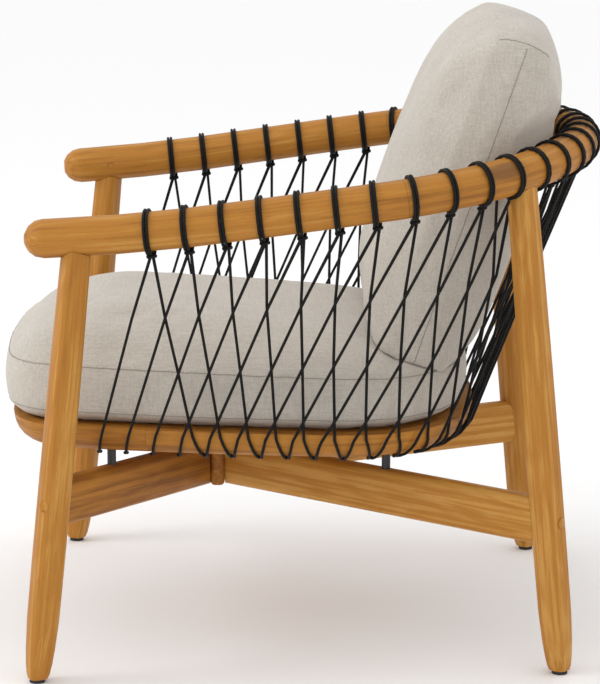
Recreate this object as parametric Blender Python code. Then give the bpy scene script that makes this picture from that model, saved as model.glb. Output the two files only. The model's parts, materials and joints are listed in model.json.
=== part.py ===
"""Wooden lounge armchair: a bent round rail on four legs, a crossed stretcher, a ringed seat with
slats, cord laced between rail and ring, and two loose cushions.

Metres, +Z up. The front faces -Y and +X is the sitter's left.
"""

import math

import bmesh
import bpy
from mathutils import Matrix, Vector

GAP = 0.0003  # clearance between pieces that touch

# Rail: plan and height of its centreline
RAIL_RADIUS = 0.026
RAIL_HALF_WIDTH = 0.358
RAIL_TIP_INSET = 0.027
RAIL_TIP_Y = -0.360
RAIL_WIDEST_Y = 0.10
RAIL_BACK_Y = 0.390
RAIL_TIP_Z = 0.5935
RAIL_SLOPE_FRONT = 0.05
RAIL_SLOPE_REAR = 0.14
RAIL_SLOPE_RUN = 0.25
RAIL_ARM_LENGTH = 0.500
RAIL_JOINT_PAST_LEG = 0.0585  # from a rear leg to the joint behind it, along the rail
RAIL_DOWEL_RADIUS = 0.007
RAIL_DOWEL_LENGTH = 0.060

# Legs: a rounded square section, thickest at the waist
LEG_SIZE = 0.041
LEG_CORNER = 0.014
LEG_TOP_SCALE = 0.87
LEG_FOOT_SCALE = 0.60
LEG_ANKLE_HEIGHT = 0.06
LEG_WAIST = 0.36
FRONT_LEG_TOP_Y = -0.290
FRONT_FOOT = (0.3575, -0.3490)
REAR_LEG_WRAPS = 6  # cord pitches from the middle of the back to a rear leg
REAR_FOOT = (0.3140, 0.3510)
FRONT_LEG_TURN = math.radians(24)
TENON_RADIUS = 0.012
TENON_RISE = 0.012
PEG_RADIUS = 0.0045
GLIDE_RADIUS = 0.0105
GLIDE_HEIGHT = 0.005
GLIDE_STEM_RADIUS = 0.003
GLIDE_STEM_LENGTH = 0.014

# Stretcher: four arms and a hub slab
STRETCHER_HEIGHT = 0.064
STRETCHER_THICKNESS = 0.032
STRETCHER_EASE = 0.013
STRETCHER_FRONT_Z = 0.244
STRETCHER_HUB_Z = 0.221
STRETCHER_REAR_Z = 0.2075
HUB_FRONT_Y = -0.127
HUB_THICKNESS = 0.020
HUB_WIDTH = 0.086
BOLT_RADIUS = 0.004
BOLT_HEAD_RADIUS = 0.0068
BOLT_HEAD_LENGTH = 0.005
BOLT_LENGTH = 0.060
PLUG_RADIUS = 0.0075
PLUG_LENGTH = 0.0065

# Seat ring, slats and posts
SEAT_HALF_WIDTH = 0.303
SEAT_WIDEST_Y = 0.030
SEAT_FRONT_Y = -0.401
SEAT_REAR_Y = 0.245
SEAT_REAR_POWER = 2.6
SEAT_FRONT_SHAPE = (
    (0.0, 1.0),
    (0.30, 0.995),
    (0.565, 0.978),
    (0.70, 0.940),
    (0.785, 0.880),
    (0.835, 0.785),
    (0.87, 0.690),
    (0.95, 0.340),
    (1.0, 0.0),
)
RING_TOP_Z = 0.325
RING_THICKNESS = 0.037
RING_WIDTH = 0.056
RING_FRONT_JOINT = 0.375
RING_REAR_JOINT = 0.80
RING_TENON_SIZE = (0.024, 0.044, 0.010)
SLAT_COUNT = 5
SLAT_FIRST_Y = -0.250
SLAT_LAST_Y = 0.118
SLAT_WIDTH = 0.045
SLAT_THICKNESS = 0.018
SLAT_DROP = 0.006
SLAT_TENON = 0.014
POST_RADIUS = 0.006
POST_DEPTH = 0.012
FRONT_POST_X = 0.232
REAR_POST_X = 0.1625

# Cord lacing
CORD_RADIUS = 0.0020
WRAP_COUNT = 34
WRAP_SKIP = 4
WRAP_PITCH = 0.0492
WRAP_SHIFT = 0.0024
WRAP_STEPS = 8
HOOK_PITCH = 0.0367
HOOK_INSET = 0.034
HOOK_HALF_GAP = 0.0035
LEAVE_ANGLE = math.radians(6)
LEG_LEAVE_ANGLE = math.radians(60)

# Cushions
SEAT_CUSHION_INSET = 0.009
SEAT_CUSHION_NOSE = 0.021  # how far the front swells out past the ring's outline
SEAT_CUSHION_NOSE_REACH = 0.25
SEAT_CUSHION_EDGE = 0.078
SEAT_CUSHION_CROWN = 0.128
SEAT_CUSHION_EDGE_FALL = 0.016  # slope of the upper seam
SEAT_CUSHION_FALL = 0.100  # slope of the crown
BACK_CUSHION_WIDTH = 0.480
BACK_CUSHION_HEIGHT = 0.476
BACK_CUSHION_CORNER = 0.030
BACK_CUSHION_FRONT_EDGE = 0.045
BACK_CUSHION_REAR_EDGE = 0.040
BACK_CUSHION_FRONT_CROWN = 0.074
BACK_CUSHION_REAR_CROWN = 0.050
BACK_CUSHION_CROWN_REACH = 0.045
BACK_CUSHION_LEAN = math.radians(19.0)
BACK_CUSHION_FOOT = (0.147, 0.392)
ROOM_GAP = 0.0030  # between the cord on the rail and the back cushion
ROOM_FLARE = 0.60  # how fast the room widens above the rail
ROOM_TOP = 1.2
CUSHION_GAP = 0.0014  # height of the gap between the two cushions

SIDES = (("left", 1), ("right", -1))


def clear_scene():
    for obj in list(bpy.data.objects):
        bpy.data.objects.remove(obj, do_unlink=True)


def make_collection(name):
    made = bpy.data.collections.new(name)
    bpy.context.scene.collection.children.link(made)
    return made


def make_material(name, colour, roughness, metallic=0.0):
    material = bpy.data.materials.new(name)
    material.use_nodes = True
    shader = material.node_tree.nodes["Principled BSDF"]
    shader.inputs["Base Color"].default_value = (*colour, 1)
    shader.inputs["Roughness"].default_value = roughness
    shader.inputs["Metallic"].default_value = metallic
    return material


clear_scene()
CHAIR = make_collection("armchair")
TEAK = (0.47, 0.22, 0.07)
CLOTH = (0.60, 0.56, 0.50)
STEEL = (0.02, 0.02, 0.022)
RUBBER = (0.012, 0.012, 0.012)
CORD = (0.01, 0.009, 0.008)


def place(name, mesh, colour, roughness=0.5, metallic=0.0, smooth=True):
    obj = bpy.data.objects.new(name, mesh)
    CHAIR.objects.link(obj)
    mesh.materials.clear()
    mesh.materials.append(make_material(name + "_finish", colour, roughness, metallic))
    if smooth:
        mesh.shade_smooth()
    return obj


# Meshes from primitives, sweeps and lofts


def tidy(work):
    bmesh.ops.remove_doubles(work, verts=work.verts, dist=1e-6)
    bmesh.ops.recalc_face_normals(work, faces=work.faces)
    if work.calc_volume(signed=True) < 0:
        bmesh.ops.reverse_faces(work, faces=work.faces)


def mesh_from(work):
    tidy(work)
    mesh = bpy.data.meshes.new("shape")
    work.to_mesh(mesh)
    work.free()
    return mesh


def curve_object(points, cyclic=False, radii=None, flat=False):
    curve = bpy.data.curves.new("path", "CURVE")
    curve.dimensions = "2D" if flat else "3D"
    spline = curve.splines.new("POLY")
    spline.points.add(len(points) - 1)
    for index, point in enumerate(points):
        spline.points[index].co = (*point, 1)
        spline.points[index].radius = radii[index] if radii else 1
    spline.use_cyclic_u = cyclic
    obj = bpy.data.objects.new("path", curve)
    bpy.context.scene.collection.objects.link(obj)
    return obj


def swept(points, radius=0.0, resolution=4, profile=None, radii=None):
    """Mesh of a round tube, or of a closed (right, up) profile, along the points."""
    path = curve_object(points, radii=radii)
    path.data.use_fill_caps = True
    made = [path]
    if profile:
        section = curve_object([(x, y, 0) for x, y in profile], cyclic=True, flat=True)
        path.data.bevel_mode = "OBJECT"
        path.data.bevel_object = section
        path.data.twist_mode = "Z_UP"
        made.append(section)
    else:
        path.data.bevel_depth = radius
        path.data.bevel_resolution = resolution
    bpy.context.view_layer.update()
    graph = bpy.context.evaluated_depsgraph_get()
    raw = bpy.data.meshes.new_from_object(path.evaluated_get(graph))
    work = bmesh.new()
    work.from_mesh(raw)
    for obj in made:
        data = obj.data
        bpy.data.objects.remove(obj, do_unlink=True)
        bpy.data.curves.remove(data)
    return mesh_from(work)


def loft(rings):
    """Closed mesh through rings with the same number of points, capped at both ends."""
    work = bmesh.new()
    loops = [[work.verts.new(point) for point in ring] for ring in rings]
    count = len(rings[0])
    for low, high in zip(loops, loops[1:]):
        for i in range(count):
            j = (i + 1) % count
            work.faces.new((low[i], low[j], high[j], high[i]))
    work.faces.new(loops[0])
    work.faces.new(loops[-1])
    return mesh_from(work)


def rod(start, end, radius, sides=16):
    """Cylinder between two points."""
    start, end = Vector(start), Vector(end)
    along = end - start
    turn = along.to_track_quat("Z", "Y").to_matrix().to_4x4()
    work = bmesh.new()
    bmesh.ops.create_cone(
        work,
        cap_ends=True,
        segments=sides,
        radius1=radius,
        radius2=radius,
        depth=along.length,
        matrix=Matrix.Translation((start + end) / 2) @ turn,
    )
    return mesh_from(work)


def box(size, matrix, ease=0.0, segments=2):
    work = bmesh.new()
    bmesh.ops.create_cube(work, size=1, matrix=matrix @ Matrix.Diagonal((*size, 1)))
    if ease:
        bmesh.ops.bevel(
            work,
            geom=work.edges[:],
            offset=ease,
            segments=segments,
            profile=0.5,
            affect="EDGES",
        )
    return mesh_from(work)


def together(meshes):
    """One mesh that holds all of these separate shapes."""
    work = bmesh.new()
    for mesh in meshes:
        work.from_mesh(mesh)
        bpy.data.meshes.remove(mesh)
    return mesh_from(work)


def boolean(obj, mesh, operation):
    """Applies one exact Boolean of the mesh to the object."""
    tool = bpy.data.objects.new("tool", mesh)
    CHAIR.objects.link(tool)
    modifier = obj.modifiers.new("cut", "BOOLEAN")
    modifier.operation = operation
    modifier.solver = "EXACT"
    modifier.object = tool
    bpy.context.view_layer.update()
    graph = bpy.context.evaluated_depsgraph_get()
    result = bpy.data.meshes.new_from_object(obj.evaluated_get(graph))
    obj.modifiers.clear()
    work = bmesh.new()
    work.from_mesh(result)
    bmesh.ops.remove_doubles(work, verts=work.verts, dist=1e-6)
    bmesh.ops.dissolve_degenerate(work, edges=work.edges, dist=1e-6)
    bmesh.ops.triangulate(work, faces=work.faces)
    work.to_mesh(result)
    work.free()
    old = obj.data
    obj.data = result
    bpy.data.objects.remove(tool, do_unlink=True)
    bpy.data.meshes.remove(mesh)
    bpy.data.meshes.remove(old)


def cut(obj, mesh):
    boolean(obj, mesh, "DIFFERENCE")


def join(obj, mesh):
    boolean(obj, mesh, "UNION")


# Paths by arc length


class Path:
    """A polyline measured by arc length."""

    def __init__(self, points):
        self.points = [Vector(point) for point in points]
        self.lengths = [0.0]
        for a, b in zip(self.points, self.points[1:]):
            self.lengths.append(self.lengths[-1] + (b - a).length)
        self.length = self.lengths[-1]

    def locate(self, s):
        """Index and fraction of the span that holds arc length s."""
        s = min(max(s, 0.0), self.length)
        low, high = 0, len(self.lengths) - 1
        while high - low > 1:
            middle = (low + high) // 2
            if self.lengths[middle] <= s:
                low = middle
            else:
                high = middle
        return low, (s - self.lengths[low]) / (self.lengths[high] - self.lengths[low])

    def at(self, s):
        index, part = self.locate(s)
        return self.points[index].lerp(self.points[index + 1], part)

    def tangent(self, s):
        return (self.at(s + 0.004) - self.at(s - 0.004)).normalized()

    def run(self, start, end, gap=0.0, bend=math.radians(5), longest=0.09):
        """Points wherever the path has turned by `bend`, with square ends held back by the gap."""
        square = 0.006
        kept = [start + square]
        last = self.tangent(start)
        s = kept[-1]
        while s < end - square:
            s += 0.002
            ahead = self.tangent(s)
            if ahead.angle(last) > bend or s - kept[-1] > longest:
                kept.append(s)
                last = ahead
        if end - kept[-1] < 2 * square:
            kept.pop()
        ahead, behind = self.tangent(start), self.tangent(end)
        first, final = self.at(start) + ahead * gap, self.at(end) - behind * gap
        points = [first, first + ahead * square] + [self.at(s) for s in kept[1:]]
        return points + [final - behind * square, final]


def rail_height(y):
    ahead = y - RAIL_TIP_Y
    bent = min(ahead, RAIL_SLOPE_RUN)
    gain = (RAIL_SLOPE_REAR - RAIL_SLOPE_FRONT) / RAIL_SLOPE_RUN
    rise = RAIL_SLOPE_FRONT * bent + gain * bent * bent / 2
    return RAIL_TIP_Z + rise + RAIL_SLOPE_REAR * (ahead - bent)


def rail_half():
    """Centreline from the front tip on the +X side to the middle of the back."""
    points = []
    arm = 40
    for i in range(arm):
        y = RAIL_TIP_Y + (RAIL_WIDEST_Y - RAIL_TIP_Y) * i / arm
        back = (RAIL_WIDEST_Y - y) / (RAIL_WIDEST_Y - RAIL_TIP_Y)
        points.append((RAIL_HALF_WIDTH - RAIL_TIP_INSET * back * back, y))
    for i in range(61):
        angle = math.pi / 2 * i / 60
        depth = RAIL_BACK_Y - RAIL_WIDEST_Y
        points.append(
            (RAIL_HALF_WIDTH * math.cos(angle), RAIL_WIDEST_Y + depth * math.sin(angle))
        )
    return [(x, y, rail_height(y)) for x, y in points]


def rail_path():
    half = rail_half()
    other = [(-x, y, z) for x, y, z in reversed(half[:-1])]
    return Path(half + other)


def catmull(points, steps):
    """Smooth curve through 2-D points."""
    ends = [points[0]] + list(points) + [points[-1]]
    made = []
    for a, b, c, d in zip(ends, ends[1:], ends[2:], ends[3:]):
        for i in range(steps):
            t = i / steps
            weights = (
                -t + 2 * t**2 - t**3,
                2 - 5 * t**2 + 3 * t**3,
                t + 4 * t**2 - 3 * t**3,
                t**3 - t**2,
            )
            made.append(
                tuple(
                    sum(w * p[k] for w, p in zip(weights, (a, b, c, d))) / 2
                    for k in (0, 1)
                )
            )
    return made + [points[-1]]


def seat_half(inset=0.0):
    """Ring outline from the front middle to the rear middle on the +X side, in plan."""
    ahead = SEAT_WIDEST_Y - SEAT_FRONT_Y
    shape = [(-SEAT_FRONT_SHAPE[1][0], SEAT_FRONT_SHAPE[1][1])] + list(SEAT_FRONT_SHAPE)
    smooth = [p for p in catmull(shape, 16) if p[0] >= -1e-9]
    points = [(x * SEAT_HALF_WIDTH, SEAT_WIDEST_Y - y * ahead) for x, y in smooth]
    behind = SEAT_REAR_Y - SEAT_WIDEST_Y
    for i in range(1, 145):
        angle = math.pi / 2 * i / 144
        across = max(math.cos(angle), 0.0) ** (2 / SEAT_REAR_POWER)
        along = math.sin(angle) ** (2 / SEAT_REAR_POWER)
        points.append((SEAT_HALF_WIDTH * across, SEAT_WIDEST_Y + behind * along))
    return [Vector((x, y, 0)) for x, y in points]


def seat_outline():
    """Closed outline, anticlockwise from the front middle, with its outward normals."""
    half = seat_half()
    points = half + [Vector((-p.x, p.y, 0)) for p in reversed(half[1:-1])]
    normals = []
    for i in range(len(points)):
        along = points[(i + 1) % len(points)] - points[i - 1]
        normals.append(Vector((along.y, -along.x, 0)).normalized())
    return points, normals


OUTLINE, NORMALS = seat_outline()
RAIL = rail_path()


def inset_outline(distance, count=None):
    """Outline moved inwards, as `count` even points, or as it was sampled."""
    moved = [p - n * distance for p, n in zip(OUTLINE, NORMALS)]
    if not count:
        return moved
    loop = Path(moved + moved[:1])
    return [loop.at(loop.length * i / count) for i in range(count)]


# Rail


def rail_piece(name, start, end, tips=()):
    points = RAIL.run(start, end, GAP / 2)
    radii = []
    if tips:
        nose = [
            (1 - math.cos(math.radians(a)), math.sin(math.radians(a)))
            for a in (20, 42, 66)
        ]
        head = [RAIL.at(RAIL_RADIUS * along) for along, _ in nose]
        points = head + RAIL.run(RAIL_RADIUS, end, GAP / 2)
        radii = [size for _, size in nose]
    if tips == "end":
        points = [Vector((-p.x, p.y, p.z)) for p in points]
    radii += [1.0] * (len(points) - len(radii))
    return place(name, swept(points, RAIL_RADIUS, 6, radii=radii), TEAK)


def rear_leg_arc():
    """Where along the rail the left rear leg stands, midway between two wraps."""
    return RAIL.length / 2 - REAR_LEG_WRAPS * WRAP_PITCH


def build_rail():
    first = RAIL_ARM_LENGTH
    second = rear_leg_arc() + RAIL_JOINT_PAST_LEG
    whole = RAIL.length
    pieces = {
        "left": rail_piece("rail_arm_left", 0, first, tips="start"),
        "right": rail_piece("rail_arm_right", 0, first, tips="end"),
        "curve_left": rail_piece("rail_curve_left", first, second),
        "curve_right": rail_piece(
            "rail_curve_right", whole - second, whole - first
        ),
        "back": rail_piece("rail_back", second, whole - second),
    }
    joints = {
        "rail_dowel_arm_left": (first, "left", "curve_left"),
        "rail_dowel_arm_right": (whole - first, "right", "curve_right"),
        "rail_dowel_back_left": (second, "curve_left", "back"),
        "rail_dowel_back_right": (whole - second, "curve_right", "back"),
    }
    for name, (s, one, two) in joints.items():
        middle, along = RAIL.at(s), RAIL.tangent(s)
        reach = along * RAIL_DOWEL_LENGTH / 2
        hole = reach + along * 0.001
        for key in (one, two):
            cut(
                pieces[key], rod(middle - hole, middle + hole, RAIL_DOWEL_RADIUS + GAP, 12)
            )
        place(name, rod(middle - reach, middle + reach, RAIL_DOWEL_RADIUS, 12), TEAK)
    return pieces


# Legs


def rounded_square(size, corner, steps=3):
    points = []
    half = size / 2 - corner
    for quarter in range(4):
        centre = Vector(
            (half * (1 if quarter in (0, 3) else -1), half * (1 if quarter < 2 else -1))
        )
        for i in range(steps + 1):
            angle = math.pi / 2 * (quarter + i / steps)
            points.append(
                centre + Vector((math.cos(angle), math.sin(angle))) * corner
            )
    return points


def leg_scale(t):
    """Section scale at the share t of the height: slim foot, full waist, slimmer top."""
    if t > LEG_WAIST:
        share = (t - LEG_WAIST) / (1 - LEG_WAIST)
        return 1 - (1 - LEG_TOP_SCALE) * share * share
    return 1 - 0.07 * ((LEG_WAIST - t) / LEG_WAIST) ** 2


def leg_axis(top, foot):
    """Foot and top of the axis; the foot is at the underside of the wood."""
    foot = Vector((foot[0], foot[1], 0))
    foot = foot.lerp(top, (GLIDE_HEIGHT + GAP) / top.z)
    return foot, top


def leg_mesh(axis, turn, grow=0.0):
    foot, top = axis
    rings = []
    lean = (top - foot) / (top.z - foot.z)
    section = rounded_square(LEG_SIZE + 2 * grow, LEG_CORNER + grow)
    ankle = [(0.0, LEG_FOOT_SCALE), (0.006, 0.70), (0.020, 0.80), (0.040, 0.88)]
    heights = [h for h, _ in ankle] + [0.08, 0.16, 0.28, 0.42, 0.52]
    heights.append(top.z - foot.z)
    for height in heights:
        scale = leg_scale(height / (top.z - foot.z))
        for h, waist in ankle:
            if h == height:
                scale = waist
        rings.append(
            [
                foot + lean * height + Matrix.Rotation(turn, 3, "Z")
                @ Vector((p.x * scale, p.y * scale, 0))
                for p in section
            ]
        )
    return loft(rings)


def mirrored(vector):
    return Vector((-vector.x, vector.y, vector.z))


def leg_layout():
    """Axis, turn and rail arc of each leg."""
    front_arc = next(
        s / 1000
        for s in range(int(RAIL.length * 500))
        if RAIL.at(s / 1000).y > FRONT_LEG_TOP_Y
    )
    rear_arc = rear_leg_arc()
    legs = {}
    for end, arc, foot, turn in (
        ("front", front_arc, FRONT_FOOT, FRONT_LEG_TURN),
        ("rear", rear_arc, REAR_FOOT, None),
    ):
        top = RAIL.at(arc)
        axis = leg_axis(top, foot)
        if turn is None:
            along = RAIL.tangent(arc)
            turn = math.atan2(along.y, along.x)
        legs[end + "_left"] = (axis, turn, arc)
        legs[end + "_right"] = (tuple(map(mirrored, axis)), -turn, RAIL.length - arc)
    return legs


LEGS = leg_layout()


def rail_sleeve(arc, radius, reach=0.045):
    return swept(RAIL.run(arc - reach, arc + reach), radius, 6)


def build_legs(rail):
    holders = {"front_left": rail["left"], "front_right": rail["right"]}
    holders["rear_left"] = rail["curve_left"]
    holders["rear_right"] = rail["curve_right"]
    made = {}
    for key, (axis, turn, arc) in LEGS.items():
        foot, top = axis
        along = (top - foot).normalized()
        leg = place("leg_" + key, leg_mesh(axis, turn), TEAK)
        cut(leg, rail_sleeve(arc, RAIL_RADIUS + 2 * GAP))
        root = top - along * (RAIL_RADIUS + 0.020)
        tip = top + along * TENON_RISE
        join(leg, rod(root, tip, TENON_RADIUS, 16))
        holder = holders[key]
        cut(holder, rod(root, tip + along * GAP, TENON_RADIUS + GAP, 16))
        tangent = RAIL.tangent(arc)
        inward = Vector((-tangent.y, tangent.x, 0)).normalized()
        inner = top + inward * (RAIL_RADIUS - 0.0006)
        outer = top - inward * RAIL_RADIUS * 0.6
        place("rail_peg_" + key, rod(inner, outer, PEG_RADIUS, 12), TEAK)
        wide = rod(inner + inward * 0.01, outer - inward * GAP, PEG_RADIUS + GAP, 12)
        cut(holder, wide.copy())
        cut(leg, wide)
        build_glide(key, leg, foot, along)
        made[key] = leg
    return made


def build_glide(key, leg, foot, along):
    floor = foot - along * (foot.z / along.z)
    level = Vector((floor.x, floor.y, 0))
    rise = Vector((0, 0, 1))
    pad = level + rise * GLIDE_HEIGHT
    glide = place(
        "foot_glide_" + key, rod(level, pad, GLIDE_RADIUS, 16), RUBBER, 0.7
    )
    stem = pad + rise * GLIDE_STEM_LENGTH
    join(glide, rod(pad - rise * 0.002, stem, GLIDE_STEM_RADIUS, 10))
    cut(leg, rod(level, stem + rise * 0.001, GLIDE_STEM_RADIUS + GAP, 10))


# Stretcher


def leg_point(key, z):
    foot, top = LEGS[key][0]
    return foot.lerp(top, (z - foot.z) / (top.z - foot.z))


def stadium(height, thickness, ease, steps=4):
    """Profile of an arm: a tall rectangle with eased corners."""
    points = []
    for quarter in range(4):
        right = 1 if quarter in (0, 3) else -1
        up = 1 if quarter < 2 else -1
        for i in range(steps + 1):
            angle = math.pi / 2 * (quarter + i / steps)
            points.append(
                (
                    right * (thickness / 2 - ease) + math.cos(angle) * ease,
                    up * (height / 2 - ease) + math.sin(angle) * ease,
                )
            )
    return points


HUB_REAR_Y = HUB_FRONT_Y + HUB_THICKNESS


def arm_axis(key):
    """Hub end and leg end of an arm's centreline."""
    side = 1 if key.endswith("left") else -1
    root_x = side * STRETCHER_THICKNESS * 0.5
    if key.startswith("front"):
        return Vector((root_x, HUB_FRONT_Y, STRETCHER_HUB_Z)), leg_point(
            key, STRETCHER_FRONT_Z
        )
    return Vector((root_x, HUB_REAR_Y, STRETCHER_HUB_Z)), leg_point(
        key, STRETCHER_REAR_Z
    )


def build_stretchers(legs):
    profile = stadium(STRETCHER_HEIGHT, STRETCHER_THICKNESS, STRETCHER_EASE)
    arms = {}
    for key, leg in legs.items():
        side = 1 if key.endswith("left") else -1
        hub, end = arm_axis(key)
        along = (end - hub).normalized()
        points = [hub - along * 0.05, end]
        arm = place("stretcher_" + key, swept(points, profile=profile), TEAK)
        axis, turn, _ = LEGS[key]
        cut(arm, leg_mesh(axis, turn, grow=GAP))
        mid = Matrix.Translation((-side * (0.1 - GAP / 2), 0, 0.22))
        cut(arm, box((0.2, 1.0, 0.3), mid))
        if key.startswith("front"):
            limit = HUB_FRONT_Y - GAP + 0.1
        else:
            limit = HUB_REAR_Y + GAP - 0.1
        cut(arm, box((0.5, 0.2, 0.3), Matrix.Translation((0, limit, 0.22))))
        arms[key] = arm
        build_bolt(key, leg, arm, end, (end - hub))
    middle = Matrix.Translation((0, (HUB_FRONT_Y + HUB_REAR_Y) / 2, STRETCHER_HUB_Z))
    size = (HUB_WIDTH, HUB_THICKNESS, STRETCHER_HEIGHT)
    place("stretcher_hub", box(size, middle, ease=0.006, segments=3), TEAK)
    return arms


def build_bolt(key, leg, arm, centre, direction):
    out = Vector((direction.x, direction.y, 0)).normalized()
    face = centre + out * (LEG_SIZE * 0.5)
    plug_in = face - out * PLUG_LENGTH
    head_in = plug_in - out * (GAP + BOLT_HEAD_LENGTH)
    tip = plug_in - out * (GAP + BOLT_LENGTH)
    bolt = place(
        "stretcher_bolt_" + key,
        rod(plug_in - out * GAP, head_in, BOLT_HEAD_RADIUS, 12),
        STEEL,
        0.4,
        1.0,
    )
    join(bolt, rod(head_in + out * 0.002, tip, BOLT_RADIUS, 10))
    place("bolt_plug_" + key, rod(face + out * 0.0012, plug_in, PLUG_RADIUS, 16), TEAK)
    cut(leg, rod(face + out * 0.02, head_in - out * GAP, PLUG_RADIUS + GAP, 16))
    for obj in (leg, arm):
        cut(obj, rod(head_in + out * 0.002, tip - out * 0.001, BOLT_RADIUS + GAP, 10))


# Seat ring, slats and posts


def ring_profile():
    """Quarter round outside and below, flat on top, with a slightly eased inner edge."""
    arc = []
    for i in range(7):
        angle = math.pi / 2 * i / 6
        arc.append(
            (
                -RING_THICKNESS + RING_THICKNESS * math.sin(angle),
                -RING_THICKNESS * math.cos(angle),
            )
        )
    ease = 0.003
    inner = [
        (-RING_WIDTH + ease, 0.0),
        (-RING_WIDTH, -ease),
        (-RING_WIDTH, -RING_THICKNESS + ease),
        (-RING_WIDTH + ease, -RING_THICKNESS),
    ]
    return arc + inner


def build_ring():
    closed = OUTLINE + OUTLINE[:1]
    loop = Path([(p.x, p.y, RING_TOP_Z) for p in closed])
    long_loop = Path(loop.points[:-1] * 2 + loop.points)
    half = loop.length / 2
    front, rear = RING_FRONT_JOINT * half, RING_REAR_JOINT * half
    spans = {
        "front": (-front, front),
        "left": (front, rear),
        "rear": (rear, 2 * half - rear),
        "right": (2 * half - rear, 2 * half - front),
    }
    profile = ring_profile()
    pieces = {}
    for key, (start, end) in spans.items():
        points = long_loop.run(
            start + loop.length, end + loop.length, GAP / 2, math.radians(7)
        )
        pieces[key] = place("seat_ring_" + key, swept(points, profile=profile), TEAK)
    joints = (
        ("front_left", front, "front", "left"),
        ("rear_left", rear, "left", "rear"),
        ("rear_right", 2 * half - rear, "rear", "right"),
        ("front_right", 2 * half - front, "right", "front"),
    )
    slots = {key: [] for key in pieces}
    for name, s, one, two in joints:
        along = loop.tangent(s)
        outward = Vector((along.y, -along.x, 0))
        middle = loop.at(s) - outward * (RING_WIDTH * 0.52)
        middle.z = RING_TOP_Z - RING_THICKNESS * 0.45
        turn = Matrix.Rotation(math.atan2(along.y, along.x) - math.pi / 2, 4, "Z")
        matrix = Matrix.Translation(middle) @ turn
        size = RING_TENON_SIZE
        grown = [side + 2 * GAP for side in size]
        for key in (one, two):
            slots[key].append(box(grown, matrix))
        place("ring_tenon_" + name, box(size, matrix), TEAK, smooth=False)
    for key, found in slots.items():
        cut(pieces[key], together(found))
    return pieces


def inner_reach(y):
    """X of the ring's inner edge on the +X side at depth y."""
    inner = inset_outline(RING_WIDTH)
    side = [p for p in inner if p.x > 0.12]
    for a, b in zip(side, side[1:]):
        if a.y <= y <= b.y:
            return a.x + (b.x - a.x) * (y - a.y) / (b.y - a.y)
    return min(side, key=lambda p: abs(p.y - y)).x


def build_slats(ring):
    slats = []
    for i in range(SLAT_COUNT):
        y = SLAT_FIRST_Y + (SLAT_LAST_Y - SLAT_FIRST_Y) * i / (SLAT_COUNT - 1)
        edges = [inner_reach(y + d * SLAT_WIDTH / 2) for d in (-1, 0, 1)]
        half = min(edges) + SLAT_TENON
        z = RING_TOP_Z - SLAT_DROP - SLAT_THICKNESS / 2
        matrix = Matrix.Translation((0, y, z))
        size = (2 * half, SLAT_WIDTH, SLAT_THICKNESS)
        slats.append(place(f"seat_slat_{i + 1}", box(size, matrix), TEAK, smooth=False))
        grown = [side + 2 * GAP for side in size]
        for piece in ring.values():
            depths = [vertex.co.y for vertex in piece.data.vertices]
            if min(depths) < y + SLAT_WIDTH / 2 and max(depths) > y - SLAT_WIDTH / 2:
                cut(piece, box(grown, matrix))
    return slats


def build_posts(arms, ring, slats):
    for key, arm in arms.items():
        side = 1 if key.endswith("left") else -1
        hub, end = arm_axis(key)
        x = FRONT_POST_X if key.startswith("front") else REAR_POST_X
        share = (x - abs(hub.x)) / (abs(end.x) - abs(hub.x))
        foot = hub.lerp(end, share)
        foot.z += STRETCHER_HEIGHT / 2 - POST_DEPTH
        if key.startswith("front"):
            holders = [ring["front"]]
            top_z = RING_TOP_Z - RING_THICKNESS + POST_DEPTH
        else:
            holders = [slats[-1]]
            top_z = RING_TOP_Z - SLAT_DROP - SLAT_THICKNESS + POST_DEPTH * 0.8
        top = Vector((foot.x, foot.y, top_z))
        place(
            "seat_post_" + key, rod(foot, top, POST_RADIUS, 16), STEEL, 0.45, 0.8
        )
        low = foot - Vector((0, 0, GAP))
        high = top + Vector((0, 0, GAP))
        for holder in holders + [arm]:
            cut(holder, rod(low, high, POST_RADIUS + GAP, 16))


# Cord lacing


HOOK_LINE = Path(inset_outline(HOOK_INSET))


def hook_frame(position):
    """Outline point and outward normal at a lacing position, counted from the front left."""
    half = Path(HOOK_LINE.points[: len(OUTLINE) // 2 + 1])
    offset = ((WRAP_COUNT + WRAP_SKIP - 1) / 2 - position) * HOOK_PITCH
    index, part = half.locate(half.length - abs(offset))
    point = OUTLINE[index].lerp(OUTLINE[index + 1], part)
    normal = NORMALS[index].lerp(NORMALS[index + 1], part).normalized()
    if offset < 0:
        point, normal = mirrored(point), mirrored(normal)
    return point, normal


def hook_at(position, radius, angle):
    """Point round the ring's quarter round, at the angle below level."""
    point, out = hook_frame(position)
    reach = -RING_THICKNESS + radius * math.cos(angle)
    return point + out * reach + Vector((0, 0, RING_TOP_Z - radius * math.sin(angle)))


def wrap_frame(number):
    """Rail point, direction and inward normal at a wrap."""
    arc = RAIL.length / 2 - ((WRAP_COUNT - 1) / 2 - number) * WRAP_PITCH
    return arc, RAIL.at(arc), RAIL.tangent(arc)


def wrap_points(number, leave_in, leave_out):
    """One turn round the rail, from the strand that comes up to the strand that leaves."""
    arc, centre, along = wrap_frame(number)
    outward = Vector((along.y, -along.x, 0)).normalized()
    up = outward.cross(along) * -1
    if up.z < 0:
        up = -up
    step = (2 * math.pi - leave_in - leave_out) / WRAP_STEPS
    radius = (RAIL_RADIUS + CORD_RADIUS + 2 * GAP) / math.cos(step / 2)
    points = []
    for i in range(WRAP_STEPS + 1):
        angle = leave_in + step * i
        shift = WRAP_SHIFT * (2 * i / WRAP_STEPS - 1)
        points.append(
            centre
            + outward * math.sin(angle) * radius
            - up * math.cos(angle) * radius
            + along * shift
        )
    return points


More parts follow.
